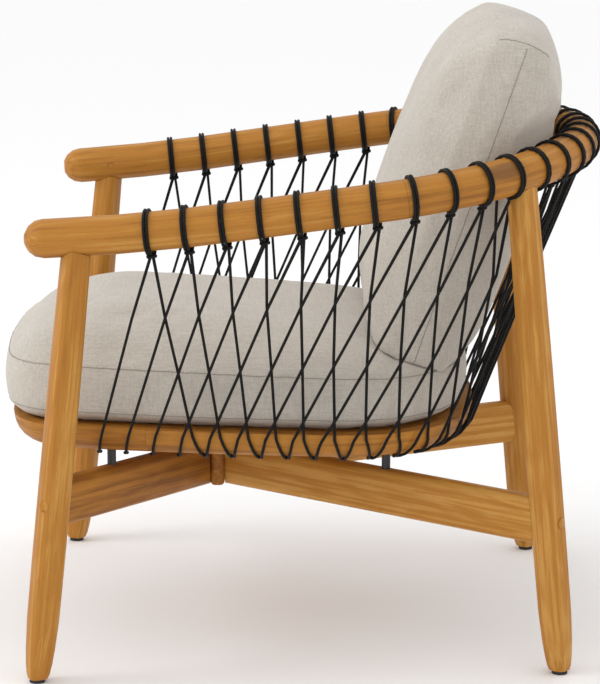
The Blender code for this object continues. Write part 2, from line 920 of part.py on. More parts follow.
ANGLES = tuple(math.radians(a) for a in (9, 45, 81))
INNER = (RING_THICKNESS + CORD_RADIUS + GAP) / math.cos((ANGLES[1] - ANGLES[0]) / 2)
LAYER = 2 * CORD_RADIUS + 0.0008
MIDDLE = (WRAP_COUNT + WRAP_SKIP - 1) / 2


def strand_position(top, foot, share):
    """Lacing position (in hooks) where a straight strand is at a share of its fall."""
    high, low = WRAP_PITCH * (1 - share), HOOK_PITCH * share
    return MIDDLE + ((top - MIDDLE) * high + (foot - MIDDLE) * low) / (high + low)


def strand_point(position, share, lip_share, offset):
    """Point of the laced surface between the rail's underside and the ring's lip."""
    _, top, along = wrap_frame(position - WRAP_SKIP / 2)
    high = top - Vector((0, 0, RAIL_RADIUS + CORD_RADIUS + GAP))
    low = hook_at(position, INNER + LAYER / 2, ANGLES[0])
    normal = Vector((along.y, -along.x, 0)).normalized()
    return high.lerp(low, share / lip_share) + normal * offset


def strand(wrap, rearwards):
    """Points from just under the wrap to the ring's underside, even in height."""
    top = wrap + WRAP_SKIP / 2
    hook = wrap + WRAP_SKIP if rearwards else wrap
    half_gap = HOOK_HALF_GAP / HOOK_PITCH
    foot = hook - half_gap if rearwards else hook + half_gap
    start = wrap_frame(wrap)[1].z - RAIL_RADIUS
    lip, end = (hook_at(hook, INNER, angle).z for angle in (ANGLES[0], ANGLES[-1]))
    lip_share = (start - lip) / (start - end)
    offset = -LAYER / 2 if rearwards else LAYER / 2
    points = []
    for step in range(1, WRAP_SKIP):
        high, low = WRAP_PITCH * step, HOOK_PITCH * (WRAP_SKIP - step)
        share = high / (high + low)
        if share < lip_share - 0.02:
            position = strand_position(top, foot, share)
            points.append(strand_point(position, share, lip_share, offset))
    for angle in ANGLES:
        height = hook_at(hook, INNER, angle).z
        share = (start - height) / (start - end)
        fade = 1 - (angle - ANGLES[0]) / (ANGLES[-1] - ANGLES[0])
        radius = INNER + (0 if rearwards else LAYER * fade)
        points.append(hook_at(strand_position(top, foot, share), radius, angle))
    return points


def near_leg(wrap, rearwards):
    """True where a strand starts beside a rear leg and has to pass inside it."""
    arc = wrap_frame(wrap)[0]
    for key in ("rear_left", "rear_right"):
        gap = LEGS[key][2] - arc
        if abs(gap) < WRAP_PITCH * 0.7 and (gap > 0) == rearwards:
            return True
    return False


def build_cord(name, first):
    points = []
    for wrap in range(first, WRAP_COUNT, WRAP_SKIP):
        leave_in = -LEG_LEAVE_ANGLE if near_leg(wrap, False) else LEAVE_ANGLE
        leave_out = LEG_LEAVE_ANGLE if near_leg(wrap, True) else LEAVE_ANGLE
        points += list(reversed(strand(wrap, rearwards=False)))
        points += wrap_points(wrap, leave_in, leave_out)
        points += strand(wrap, rearwards=True)
    place(name, swept(points, CORD_RADIUS, 0), CORD, 0.8)


# Cushions


def seat_ring_points(inset, height, fall, count=44):
    centre_y = (SEAT_FRONT_Y + SEAT_REAR_Y) / 2
    points = []
    for p in inset_outline(inset, count):
        ahead = max(0.0, (SEAT_FRONT_Y + SEAT_CUSHION_NOSE_REACH - p.y) / SEAT_CUSHION_NOSE_REACH)
        y = p.y - SEAT_CUSHION_NOSE * ahead * ahead
        points.append(Vector((p.x, y, height - fall * (p.y - centre_y))))
    return points


def seat_cushion_mesh():
    """Boxed cushion: flat underside, upright border, crowned top that falls to the rear."""
    base = RING_TOP_Z + 2 * GAP
    edge = SEAT_CUSHION_EDGE
    crown = SEAT_CUSHION_CROWN - edge
    rings = [
        seat_ring_points(0.070, base, 0),
        seat_ring_points(0.034, base + 0.001, 0),
        seat_ring_points(0.006 + SEAT_CUSHION_INSET, base + 0.012, 0),
    ]
    for share, inset in ((0.35, -0.002), (0.7, -0.002), (1.0, 0.002)):
        rings.append(
            seat_ring_points(
                SEAT_CUSHION_INSET + inset,
                base + edge * share,
                SEAT_CUSHION_EDGE_FALL * share,
            )
        )
    for inset, rise in ((0.016, 0.30), (0.04, 0.60), (0.08, 0.85), (0.13, 0.97), (0.18, 1.0)):
        fall = SEAT_CUSHION_EDGE_FALL + (SEAT_CUSHION_FALL - SEAT_CUSHION_EDGE_FALL) * rise
        rings.append(
            seat_ring_points(inset, base + edge + crown * rise, fall)
        )
    return loft(rings)


def pillow_ring(shrink, depth, steps=5):
    """Rounded rectangle in the back cushion's own plane, shrunk towards its middle."""
    width, height, corner = BACK_CUSHION_WIDTH, BACK_CUSHION_HEIGHT, BACK_CUSHION_CORNER
    points = []
    for quarter in range(4):
        right = 1 if quarter in (0, 3) else -1
        up = 1 if quarter < 2 else -1
        for i in range(steps + 1):
            angle = math.pi / 2 * (quarter + i / steps)
            x = right * (width / 2 - corner) + math.cos(angle) * corner
            z = up * (height / 2 - corner) + math.sin(angle) * corner
            points.append(Vector((x * (1 - shrink), depth, z * (1 - shrink))))
    return points


def back_cushion_mesh():
    """Leaning pillow: a border with a deep crown in front and a shallower one behind."""
    shrinks = (0.78, 0.54, 0.34, 0.19, 0.08)
    half = BACK_CUSHION_WIDTH / 2
    layers = []
    for shrink in shrinks:
        rise = 1 - math.exp(-shrink * half / BACK_CUSHION_CROWN_REACH)
        layers.append((shrink, -BACK_CUSHION_FRONT_EDGE - BACK_CUSHION_FRONT_CROWN * rise))
    layers += [(0.015, -BACK_CUSHION_FRONT_EDGE), (0.0, 0.0), (0.015, BACK_CUSHION_REAR_EDGE)]
    for shrink in reversed(shrinks):
        rise = 1 - math.exp(-shrink * half / BACK_CUSHION_CROWN_REACH)
        layers.append((shrink, BACK_CUSHION_REAR_EDGE + BACK_CUSHION_REAR_CROWN * rise))
    foot = Vector((0, *BACK_CUSHION_FOOT))
    lean = Matrix.Rotation(-BACK_CUSHION_LEAN, 4, "X")
    rise = Matrix.Translation((0, 0, BACK_CUSHION_HEIGHT / 2))
    matrix = Matrix.Translation(foot) @ lean @ rise
    return loft([[matrix @ p for p in pillow_ring(*layer)] for layer in layers])


def room_mesh(count=48):
    """Space inside the rail and the lacing, which widens above the rail."""
    lines = ([], [], [], [])
    away = RAIL_RADIUS + 2 * CORD_RADIUS + ROOM_GAP
    for i in range(count + 1):
        arc = RAIL.length * i / count
        along = RAIL.tangent(arc)
        outward = Vector((along.y, -along.x, 0)).normalized()
        high = RAIL.at(arc) - outward * away
        over = high + Vector((0, 0, away))
        far = over + outward * ROOM_FLARE * (ROOM_TOP - over.z)
        position = (arc - RAIL.length / 2) / WRAP_PITCH + (WRAP_COUNT + WRAP_SKIP - 1) / 2
        point, normal = hook_frame(position)
        low = point - normal * CORD_RADIUS
        lines[0].append(Vector((low.x, low.y, RING_TOP_Z - RING_THICKNESS)))
        lines[1].append(high)
        lines[2].append(over)
        lines[3].append(Vector((far.x, far.y, ROOM_TOP)))
    return loft(lines)


def build_cushions():
    place("seat_cushion", seat_cushion_mesh(), CLOTH, 0.95)
    back = place("back_cushion", back_cushion_mesh(), CLOTH, 0.95)
    boolean(back, room_mesh(), "INTERSECT")
    lifted = seat_cushion_mesh()
    lifted.transform(Matrix.Translation((0, 0, CUSHION_GAP)))
    cut(back, lifted)


def centre_on_origin():
    """Moves every piece along Y, so that the chair's depth is centred on the origin."""
    low, high = Vector((9, 9, 9)), Vector((-9, -9, -9))
    for obj in CHAIR.objects:
        for vertex in obj.data.vertices:
            low = Vector(map(min, low, vertex.co))
            high = Vector(map(max, high, vertex.co))
    shift = Vector((0, -(low.y + high.y) / 2, -low.z))
    for obj in CHAIR.objects:
        obj.data.transform(Matrix.Translation(shift))
    print("size", tuple(round(v, 4) for v in high - low), "shift", tuple(shift))


def main():
    rail = build_rail()
    legs = build_legs(rail)
    arms = build_stretchers(legs)
    ring = build_ring()
    slats = build_slats(ring)
    build_posts(arms, ring, slats)
    for index, letter in enumerate("abcd"):
        build_cord("weave_cord_" + letter, index)
    build_cushions()
    centre_on_origin()


main()
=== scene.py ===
"""Looks of the wooden lounge armchair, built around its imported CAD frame.

The wood, steel and rubber pieces are the CAD nodes with better materials. The four lacing cords and
the two cushions are modelled here. Metres, +Z up, the front faces -Y and +X is the sitter's left.
"""

import json
import math

import bmesh
import bpy
import numpy as np
from mathutils import Matrix, Vector, noise
from mathutils.bvhtree import BVHTree
from mathutils.kdtree import KDTree


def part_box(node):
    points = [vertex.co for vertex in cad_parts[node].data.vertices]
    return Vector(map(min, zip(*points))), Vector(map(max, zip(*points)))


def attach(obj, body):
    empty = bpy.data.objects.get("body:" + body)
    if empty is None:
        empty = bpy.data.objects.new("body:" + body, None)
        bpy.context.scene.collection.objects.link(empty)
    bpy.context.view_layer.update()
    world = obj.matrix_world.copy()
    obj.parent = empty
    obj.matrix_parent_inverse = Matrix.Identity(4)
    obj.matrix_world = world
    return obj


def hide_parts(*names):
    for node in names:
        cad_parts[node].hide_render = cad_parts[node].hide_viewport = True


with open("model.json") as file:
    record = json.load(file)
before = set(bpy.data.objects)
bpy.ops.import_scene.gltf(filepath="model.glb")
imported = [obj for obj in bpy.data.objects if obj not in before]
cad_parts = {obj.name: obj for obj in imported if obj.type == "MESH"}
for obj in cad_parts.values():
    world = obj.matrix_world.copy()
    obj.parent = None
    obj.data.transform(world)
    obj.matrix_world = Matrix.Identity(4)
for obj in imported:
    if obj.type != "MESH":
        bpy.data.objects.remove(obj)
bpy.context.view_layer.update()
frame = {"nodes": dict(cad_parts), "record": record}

# Camera
LENS = 157.9
CAMERA_AWAY = 4.1865
CAMERA_HEIGHT = 1.2475
CAMERA_DOWN = math.radians(11.575)
CAMERA_ROLL = math.radians(0.156)

# Light and floor
WORLD_STRENGTH = 1.0
KEY_PLACE = (0.5, -3.5, 2.7)
KEY_TARGET = (0, 0, 0.4)
KEY_SIZE = 2.0
KEY_POWER = 42
TOP_PLACE = (0.3, 0.4, 3.6)
TOP_TARGET = (0, 0, 0.3)
TOP_SIZE = 2.4
TOP_POWER = 3
FLOOR_HALF_SIZE = 30
FLOOR_COLOUR = (0.96, 0.96, 0.96)
FLOOR_ROUGHNESS = 0.9

# Colours and grain
TEAK_LIGHT = (0.560, 0.285, 0.062)
TEAK_MIDDLE = (0.440, 0.182, 0.024)
TEAK_DARK = (0.240, 0.085, 0.012)
GROWTH_RING_SPACING = 0.0062
GROWTH_RING_WANDER = 0.030
PITH_OFFSET = (0, 0.05, 0.03)
PITH_DRIFT = (0.06, 1, 1)
HEART_COLOUR = (0.150, 0.062, 0.024)
HEART_PLACE = (0.635, 0.022, 0.014)  # a patch of heartwood on the near curve of the rail
HEART_SQUEEZE = 0.42
HEART_STRENGTH = 0.72
PORE_STRENGTH = 0.45
LINEN_LIGHT = (0.580, 0.530, 0.465)
LINEN_DARK = (0.420, 0.380, 0.328)
# Seam thread colours, darker than the linen: partly the thread's own colour, partly painted shadow of the
# groove the seam lies in
THREAD_AND_GROOVE_SHADE_DARK = (0.20, 0.175, 0.15)
THREAD_AND_GROOVE_SHADE_LIGHT = (0.42, 0.375, 0.32)
CORD_DARK = (0.003, 0.003, 0.003)
CORD_LIGHT = (0.011, 0.010, 0.009)
BRAID_LENGTH = 0.0046
BRAID_STRANDS = 3.0
STEEL_COLOUR = (0.022, 0.022, 0.024)
RUBBER_COLOUR = (0.016, 0.016, 0.016)
WELD_DISTANCE = 0.00001
SHARP_ANGLE = math.radians(34)

# Rail and ring lines, the same as in the CAD
RAIL_RADIUS = 0.026
RAIL_HALF_WIDTH = 0.358
RAIL_TIP_INSET = 0.027
RAIL_TIP_Y = -0.360
RAIL_WIDEST_Y = 0.10
RAIL_BACK_Y = 0.390
RAIL_TIP_Z = 0.5935
RAIL_SLOPE_FRONT = 0.05
RAIL_SLOPE_REAR = 0.14
RAIL_SLOPE_RUN = 0.25
REAR_LEG_WRAPS = 6
SEAT_HALF_WIDTH = 0.303
SEAT_WIDEST_Y = 0.030
SEAT_FRONT_Y = -0.401
SEAT_REAR_Y = 0.245
SEAT_REAR_POWER = 2.6
SEAT_FRONT_SHAPE = (
    (0.0, 1.0),
    (0.30, 0.995),
    (0.565, 0.978),
    (0.70, 0.940),
    (0.785, 0.880),
    (0.835, 0.785),
    (0.87, 0.690),
    (0.95, 0.340),
    (1.0, 0.0),
)
RING_TOP_Z = 0.325
RING_THICKNESS = 0.037
FRONT_FOOT_Y = -0.3490

# Cord lacing, the same as in the CAD apart from the second turn, the hooks and the knots
CORD_RADIUS = 0.0020
CORD_GAP = 0.0003
LAYER_GAP = 0.0004
WRAP_COUNT = 34
WRAP_SKIP = 4
WRAP_PITCH = 0.0492
HOOK_PITCH = 0.0367
HOOK_INSET = 0.034
HOOK_HALF_GAP = 0.0021
HOOK_ANGLES = (9, 24, 39, 54, 69, 81)
LIP_MARGIN = 0.02
LEAVE_ANGLE = math.radians(6)
LEG_LEAVE_ANGLE = math.radians(60)
LEG_REACH = 0.7
TURN_SHIFT = 0.0042
TURN_STEPS = 20
KNOT_DROP = 0.0052
KNOT_SPREAD = 0.0018
BAND_HALF_LENGTH = 0.0050
BAND_HALF_WIDTH = 0.0020
BAND_RADIUS = 0.0023
BAND_STEPS = 20
BAND_RISE = 0.0008
BAND_TWIST = 0.0007
END_KNOT_SIZE = 0.0008
END_KNOT_RADIUS = 0.0014
END_KNOT_DROP = 0.0005
END_KNOT_STEPS = 36

# Cushions, close to the CAD's plain ones
SEAT_INSET = 0.009
SEAT_NOSE = 0.021
SEAT_NOSE_REACH = 0.25
SEAT_EDGE = 0.078
SEAT_CROWN = 0.128
SEAT_EDGE_FALL = 0.016
SEAT_FALL = 0.100
SEAT_CROWN_REACH = 0.045
SEAT_LOWER_SEAM = 0.014
SEAT_BASE_GAP = 0.001
SEAT_REST_GAP = 0.0006
SEAT_RING_POINTS = 180
SEAT_CORE_INSET = 0.10
SEAT_CORE_SHRINK = 0.2
SEAT_UNDERSIDE = ((0.060, 0.0), (0.030, 0.0), (0.014, 0.001), (0.006, 0.005))
SEAT_BULGE = 0.005
SEAT_CROWN_STEPS = (0.02, 0.05, 0.09, 0.14, 0.20, 0.28, 0.38, 0.50, 0.64, 0.80, 0.95)
SEAT_STEP_LENGTH = 0.30
BACK_WIDTH = 0.480
BACK_HEIGHT = 0.476
BACK_CORNER = 0.020
BACK_FRONT_EDGE = 0.045
BACK_REAR_EDGE = 0.040
BACK_FRONT_CROWN = 0.069
BACK_REAR_CROWN = 0.058
BACK_CROWN_REACH = 0.080
BACK_LEAN = math.radians(19.0)
BACK_FOOT = (0.147, 0.392)
BACK_TOP_BOW = 0.027
BACK_RING_POINTS = 160
BACK_CROWN_STEPS = (0.96, 0.85, 0.70, 0.55, 0.42, 0.31, 0.22, 0.15, 0.09, 0.045, 0.015)
BACK_STEP_LENGTH = 0.24
BACK_SEAM_MARGIN = 0.3
ROOM_INSET = 0.0325
ROOM_FLARE = 0.60
ROOM_TOP = 1.2
ROOM_STEPS = 120
CUSHION_LIFT = 0.0015
VOXEL = 0.0075
HOLD_REACH = 0.012
CLOTH_QUALITY = 4
CLOTH_PRESSURE = 4
CLOTH_FRAMES = 20
SWELL_CAP = 0.006
SWELL_START = 0.002
SEAM_REACH = 0.0055
SEAM_DEPTH = 0.0016
SEAM_RADIUS = 0.0007
SEAM_SPACING = 0.002
PUCKER_DEPTH = 0.0009
PUCKER_REACH = 0.02
UNEVEN_DEPTH = 0.0016

SHIFT = (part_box("foot_glide_front_left")[0].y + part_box("foot_glide_front_left")[1].y) / 2 - FRONT_FOOT_Y


# Camera, light and floor


def build_camera():
    camera = bpy.data.objects.new("camera", bpy.data.cameras.new("camera"))
    bpy.context.scene.collection.objects.link(camera)
    camera.data.lens = LENS
    camera.data.sensor_width = 36
    camera.data.clip_end = 100
    turn = Matrix.Rotation(math.pi / 2, 4, "Z") @ Matrix.Rotation(math.pi / 2 - CAMERA_DOWN, 4, "X")
    place = Matrix.Translation((CAMERA_AWAY, SHIFT, CAMERA_HEIGHT))
    camera.matrix_world = place @ turn @ Matrix.Rotation(CAMERA_ROLL, 4, "Z")
    bpy.context.scene.camera = camera


def area_light(name, place, target, size, power):
    light = bpy.data.objects.new(name, bpy.data.lights.new(name, "AREA"))
    bpy.context.scene.collection.objects.link(light)
    light.data.shape = "DISK"
    light.data.size = size
    light.data.energy = power
    light.location = place
    light.rotation_euler = (Vector(target) - Vector(place)).to_track_quat("-Z", "Y").to_euler()


def build_stage():
    bpy.context.scene.view_settings.view_transform = "Standard"
    world = bpy.data.worlds.new("world")
    bpy.context.scene.world = world
    world.use_nodes = True
    world.node_tree.nodes["Background"].inputs["Color"].default_value = (1, 1, 1, 1)
    world.node_tree.nodes["Background"].inputs["Strength"].default_value = WORLD_STRENGTH
    area_light("key", KEY_PLACE, KEY_TARGET, KEY_SIZE, KEY_POWER)
    area_light("top", TOP_PLACE, TOP_TARGET, TOP_SIZE, TOP_POWER)
    mesh = bpy.data.meshes.new("floor")
    half = FLOOR_HALF_SIZE
    corners = [(-half, -half, 0), (half, -half, 0), (half, half, 0), (-half, half, 0)]
    mesh.from_pydata(corners, [], [(0, 1, 2, 3)])
    floor = bpy.data.objects.new("floor", mesh)
    bpy.context.scene.collection.objects.link(floor)
    nodes = Nodes("floor", FLOOR_COLOUR, FLOOR_ROUGHNESS)
    floor.data.materials.append(nodes.material)


# Materials


class Nodes:
    """A material and short ways to add nodes to it."""

    def __init__(self, name, colour, roughness):
        self.material = bpy.data.materials.new(name)
        self.material.use_nodes = True
        self.tree = self.material.node_tree
        self.shader = self.tree.nodes["Principled BSDF"]
        self.shader.inputs["Base Color"].default_value = (*colour, 1)
        self.shader.inputs["Roughness"].default_value = roughness

    def add(self, kind, links=(), **settings):
        node = self.tree.nodes.new(kind)
        for key, value in settings.items():
            setattr(node, key, value)
        for socket, value in dict(links).items():
            self.feed(node.inputs[socket], value)
        return node

    def feed(self, socket, value):
        if isinstance(value, bpy.types.NodeSocket):
            self.tree.links.new(value, socket)
        else:
            socket.default_value = value

    def attribute(self, name):
        return self.add("ShaderNodeAttribute", attribute_name=name)

    def math(self, operation, a, b=0.0):
        node = self.add("ShaderNodeMath", operation=operation)
        self.feed(node.inputs[0], a)
        self.feed(node.inputs[1], b)
        return node.outputs[0]

    def stretch(self, vector, scale, shift=(0, 0, 0), turn=(0, 0, 0)):
        links = {"Vector": vector, "Location": shift, "Rotation": turn, "Scale": scale}
        return self.add("ShaderNodeMapping", links).outputs[0]

    def noise(self, vector, detail=3.0, roughness=0.5, distortion=0.0):
        links = {"Vector": vector, "Scale": 1.0, "Detail": detail}
        links |= {"Roughness": roughness, "Distortion": distortion}
        return self.add("ShaderNodeTexNoise", links).outputs["Fac"]

    def ramp(self, value, low, high, start=0.0, end=1.0):
        node = self.add("ShaderNodeMapRange", interpolation_type="SMOOTHSTEP")
        for socket, given in zip(node.inputs, (value, low, high, start, end)):
            self.feed(socket, given)
        return node.outputs[0]

    def mix(self, factor, a, b):
        node = self.add("ShaderNodeMix", data_type="RGBA")
        for socket, given in zip((node.inputs[0], node.inputs[6], node.inputs[7]), (factor, a, b)):
            self.feed(socket, given if not isinstance(given, tuple) else (*given, 1))
        return node.outputs[2]

    def bump(self, height, distance, strength=1.0):
        links = {"Height": height, "Distance": distance, "Strength": strength}
        return self.add("ShaderNodeBump", links).outputs[0]


def teak_material():
    """Long streaks, growth rings, pores and a patch of heartwood, along each piece's own grain, darkened or
    lightened by each piece's tone, which holds painted shade or painted light for some pieces.
    """
    n = Nodes("teak_wood", TEAK_MIDDLE, 0.5)
    grain = n.attribute("grain").outputs["Vector"]
    tone = n.attribute("tone").outputs["Fac"]
    bend = n.noise(n.stretch(grain, (4, 30, 30)), 2.0)
    drift = n.add("ShaderNodeVectorMath", {0: grain, 1: PITH_OFFSET}, operation="ADD").outputs[0]
    flat = n.stretch(drift, PITH_DRIFT)
    radius = n.add("ShaderNodeVectorMath", {0: flat}, operation="LENGTH").outputs["Value"]
    wander = n.math("MULTIPLY", bend, GROWTH_RING_WANDER)
    phase = n.math("MULTIPLY", n.math("ADD", radius, wander), 2 * math.pi / GROWTH_RING_SPACING)
    ring = n.math("SINE", phase)
    broad = n.noise(n.stretch(grain, (2.6, 110, 110)), 4.0, 0.62, 0.2)
    fine = n.noise(n.stretch(grain, (22, 520, 520)), 3.0, 0.6)
    pores = n.noise(n.stretch(grain, (110, 1900, 1900)), 2.0, 0.5)
    blotch = n.noise(n.stretch(grain, (3, 14, 14)), 2.0)
    shade = n.math("ADD", n.ramp(broad, 0.28, 0.78), n.math("MULTIPLY", ring, 0.10))
    shade = n.math("ADD", shade, n.math("MULTIPLY", n.math("SUBTRACT", fine, 0.5), 0.55))
    shade = n.math("ADD", shade, n.math("MULTIPLY", n.math("SUBTRACT", blotch, 0.5), 0.4))
    # the tone darkens the front stretcher arms and the seat ring with painted shade and lightens the rear
    # arms with painted light
    shade = n.math("ADD", shade, tone)
    colour = n.mix(n.ramp(shade, 0.0, 0.62), TEAK_LIGHT, TEAK_MIDDLE)
    colour = n.mix(n.ramp(shade, 0.62, 1.55), colour, TEAK_DARK)
    scaled = n.stretch(grain, (HEART_SQUEEZE, 1, 1))
    centre = (HEART_PLACE[0] * HEART_SQUEEZE, HEART_PLACE[1], HEART_PLACE[2])
    links = {0: scaled, 1: centre}
    away = n.add("ShaderNodeVectorMath", links, operation="DISTANCE").outputs["Value"]
    away = n.math("ADD", away, n.math("MULTIPLY", n.math("SUBTRACT", broad, 0.5), 0.02))
    heart = n.math("MULTIPLY", n.ramp(away, 0.007, 0.017, 1.0, 0.0), HEART_STRENGTH)
    colour = n.mix(heart, colour, HEART_COLOUR)
    pore = n.ramp(pores, 0.58, 0.74)
    colour = n.mix(n.math("MULTIPLY", pore, PORE_STRENGTH), colour, TEAK_DARK)
    n.feed(n.shader.inputs["Base Color"], colour)
    n.feed(n.shader.inputs["Roughness"], n.ramp(fine, 0.2, 0.8, 0.42, 0.56))
    height = n.math("SUBTRACT", n.math("MULTIPLY", fine, 0.5), n.math("MULTIPLY", pore, 0.5))
    n.feed(n.shader.inputs["Normal"], n.bump(height, 0.00025, 0.5))
    n.shader.inputs["Specular IOR Level"].default_value = 0.25
    return n.material


def linen_material(name, turn):
    """Two thread directions on any face, from noise stretched along each of the cushion's axes."""
    n = Nodes(name, LINEN_LIGHT, 0.92)
    place = n.add("ShaderNodeTexCoord").outputs["Object"]
    slubs = []
    threads = []
    for axis in range(3):
        scale = [1500.0] * 3
        scale[axis] = 70.0
        threads.append(n.noise(n.stretch(place, scale, turn=turn), 1.0))
        scale = [420.0] * 3
        scale[axis] = 26.0
        slubs.append(n.noise(n.stretch(place, scale, (7.1 * axis, 0, 3.3), turn), 2.0))
    weave = n.math("ADD", n.math("ADD", threads[0], threads[1]), threads[2])
    slub = n.math("ADD", n.math("ADD", slubs[0], slubs[1]), slubs[2])
    cloud = n.noise(n.stretch(place, (16, 16, 16), turn=turn), 3.0)
    mixed = n.math("ADD", n.math("MULTIPLY", weave, 0.45), n.math("MULTIPLY", slub, 0.55))
    mixed = n.math("ADD", mixed, n.math("MULTIPLY", n.math("SUBTRACT", cloud, 0.5), 0.35))
    colour = n.mix(n.ramp(mixed, 1.10, 1.92), LINEN_DARK, LINEN_LIGHT)
    n.feed(n.shader.inputs["Base Color"], colour)
    n.feed(n.shader.inputs["Normal"], n.bump(weave, 0.0004, 0.35))
    n.shader.inputs["Specular IOR Level"].default_value = 0.2
    n.shader.inputs["Sheen Weight"].default_value = 0.25
    n.shader.inputs["Sheen Roughness"].default_value = 0.5
    return n.material


def thread_and_groove_shade_material():
    """Stitching: short light and dark bands along the thread, darker overall than the linen, partly as
    painted shadow in the seam's groove.
    """
    n = Nodes("seam_thread_and_groove_shade", (0.26, 0.23, 0.20), 0.9)
    lay = n.attribute("lay").outputs["Vector"]
    links = {"Vector": n.stretch(lay, (95, 0, 0)), "Scale": 1.0}
    wave = n.add("ShaderNodeTexWave", links).outputs["Fac"]
    n.feed(n.shader.inputs["Base Color"], n.mix(wave, THREAD_AND_GROOVE_SHADE_DARK, THREAD_AND_GROOVE_SHADE_LIGHT))
    n.feed(n.shader.inputs["Normal"], n.bump(wave, 0.0003, 0.6))
    return n.material


def cord_material():
    """Braided cord: two crossing spirals of strands."""
    n = Nodes("braided_cord", (0.012, 0.011, 0.011), 0.62)
    lay = n.add("ShaderNodeSeparateXYZ", {0: n.attribute("lay").outputs["Vector"]}).outputs
    along = n.math("MULTIPLY", lay[0], 2 * math.pi / BRAID_LENGTH)
    round_cord = n.math("MULTIPLY", lay[1], BRAID_STRANDS)
    left = n.math("SINE", n.math("ADD", along, round_cord))
    right = n.math("SINE", n.math("SUBTRACT", along, round_cord))
    braid = n.math("MAXIMUM", left, right)
    n.feed(n.shader.inputs["Base Color"], n.mix(n.ramp(braid, 0.0, 1.0), CORD_DARK, CORD_LIGHT))
    n.feed(n.shader.inputs["Normal"], n.bump(braid, 0.0005, 0.8))
    n.shader.inputs["Specular IOR Level"].default_value = 0.2
    return n.material


def plain_material(name, colour, roughness, grit, scale):
    """Powder coat or rubber: a fine bump and a slight change of tone."""
    n = Nodes(name, colour, roughness)
    place = n.add("ShaderNodeTexCoord").outputs["Object"]
    peel = n.noise(n.stretch(place, (scale, scale, scale)), 3.0)
    soft = n.noise(n.stretch(place, (40, 40, 40)), 2.0)
    lighter = tuple(min(1.0, c * 1.8) for c in colour)
    n.feed(n.shader.inputs["Base Color"], n.mix(n.math("MULTIPLY", soft, 0.6), colour, lighter))
    n.feed(n.shader.inputs["Roughness"], n.ramp(soft, 0.3, 0.7, roughness - 0.06, roughness + 0.08))
    n.feed(n.shader.inputs["Normal"], n.bump(peel, 0.0002, grit))
    return n.material


# Lines of the rail and of the seat


class Path:
    """A polyline measured by arc length."""

    def __init__(self, points):
        self.points = [Vector(point) for point in points]
        self.lengths = [0.0]
        for a, b in zip(self.points, self.points[1:]):
            self.lengths.append(self.lengths[-1] + (b - a).length)
        self.length = self.lengths[-1]

    def locate(self, s):
        s = min(max(s, 0.0), self.length)
        index = int(np.searchsorted(self.lengths, s, side="right")) - 1
        index = min(max(index, 0), len(self.points) - 2)
        return index, (s - self.lengths[index]) / (self.lengths[index + 1] - self.lengths[index])

    def at(self, s):
        index, part = self.locate(s)
        return self.points[index].lerp(self.points[index + 1], part)

    def tangent(self, s):
        return (self.at(s + 0.004) - self.at(s - 0.004)).normalized()


def rail_height(y):
    ahead = y - RAIL_TIP_Y
    bent = min(ahead, RAIL_SLOPE_RUN)
    gain = (RAIL_SLOPE_REAR - RAIL_SLOPE_FRONT) / RAIL_SLOPE_RUN
    rise = RAIL_SLOPE_FRONT * bent + gain * bent * bent / 2
    return RAIL_TIP_Z + rise + RAIL_SLOPE_REAR * (ahead - bent)


def rail_path():
    half = []
    for i in range(40):
        y = RAIL_TIP_Y + (RAIL_WIDEST_Y - RAIL_TIP_Y) * i / 40
        back = (RAIL_WIDEST_Y - y) / (RAIL_WIDEST_Y - RAIL_TIP_Y)
        half.append((RAIL_HALF_WIDTH - RAIL_TIP_INSET * back * back, y))
    for i in range(61):
        angle = math.pi / 2 * i / 60
        depth = RAIL_BACK_Y - RAIL_WIDEST_Y
        half.append((RAIL_HALF_WIDTH * math.cos(angle), RAIL_WIDEST_Y + depth * math.sin(angle)))
    half = [(x, y, rail_height(y)) for x, y in half]
    return Path(half + [(-x, y, z) for x, y, z in reversed(half[:-1])])


def catmull(points, steps):
    """Smooth curve through 2-D points."""
    ends = [points[0]] + list(points) + [points[-1]]
    made = []
    for a, b, c, d in zip(ends, ends[1:], ends[2:], ends[3:]):
        for i in range(steps):
            t = i / steps
            weights = (
                -t + 2 * t**2 - t**3,
                2 - 5 * t**2 + 3 * t**3,
                t + 4 * t**2 - 3 * t**3,
                t**3 - t**2,
            )
            pair = [sum(w * p[k] for w, p in zip(weights, (a, b, c, d))) / 2 for k in (0, 1)]
            made.append(tuple(pair))
    return made + [points[-1]]


def seat_outline():
    """Ring outline in plan, anticlockwise from the front middle, with its outward normals."""
    ahead = SEAT_WIDEST_Y - SEAT_FRONT_Y
    behind = SEAT_REAR_Y - SEAT_WIDEST_Y
    shape = [(-SEAT_FRONT_SHAPE[1][0], SEAT_FRONT_SHAPE[1][1])] + list(SEAT_FRONT_SHAPE)
    smooth = [p for p in catmull(shape, 16) if p[0] >= -1e-9]
    half = [Vector((x * SEAT_HALF_WIDTH, SEAT_WIDEST_Y - y * ahead, 0)) for x, y in smooth]
    for i in range(1, 145):
        angle = math.pi / 2 * i / 144
        across = max(math.cos(angle), 0.0) ** (2 / SEAT_REAR_POWER)
        along = math.sin(angle) ** (2 / SEAT_REAR_POWER)
        half.append(Vector((SEAT_HALF_WIDTH * across, SEAT_WIDEST_Y + behind * along, 0)))
    points = half + [Vector((-p.x, p.y, 0)) for p in reversed(half[1:-1])]
    normals = []
    for i in range(len(points)):
        along = points[(i + 1) % len(points)] - points[i - 1]
        normals.append(Vector((along.y, -along.x, 0)).normalized())
    return points, normals


RAIL = rail_path()
OUTLINE, NORMALS = seat_outline()


# Grain of the wood


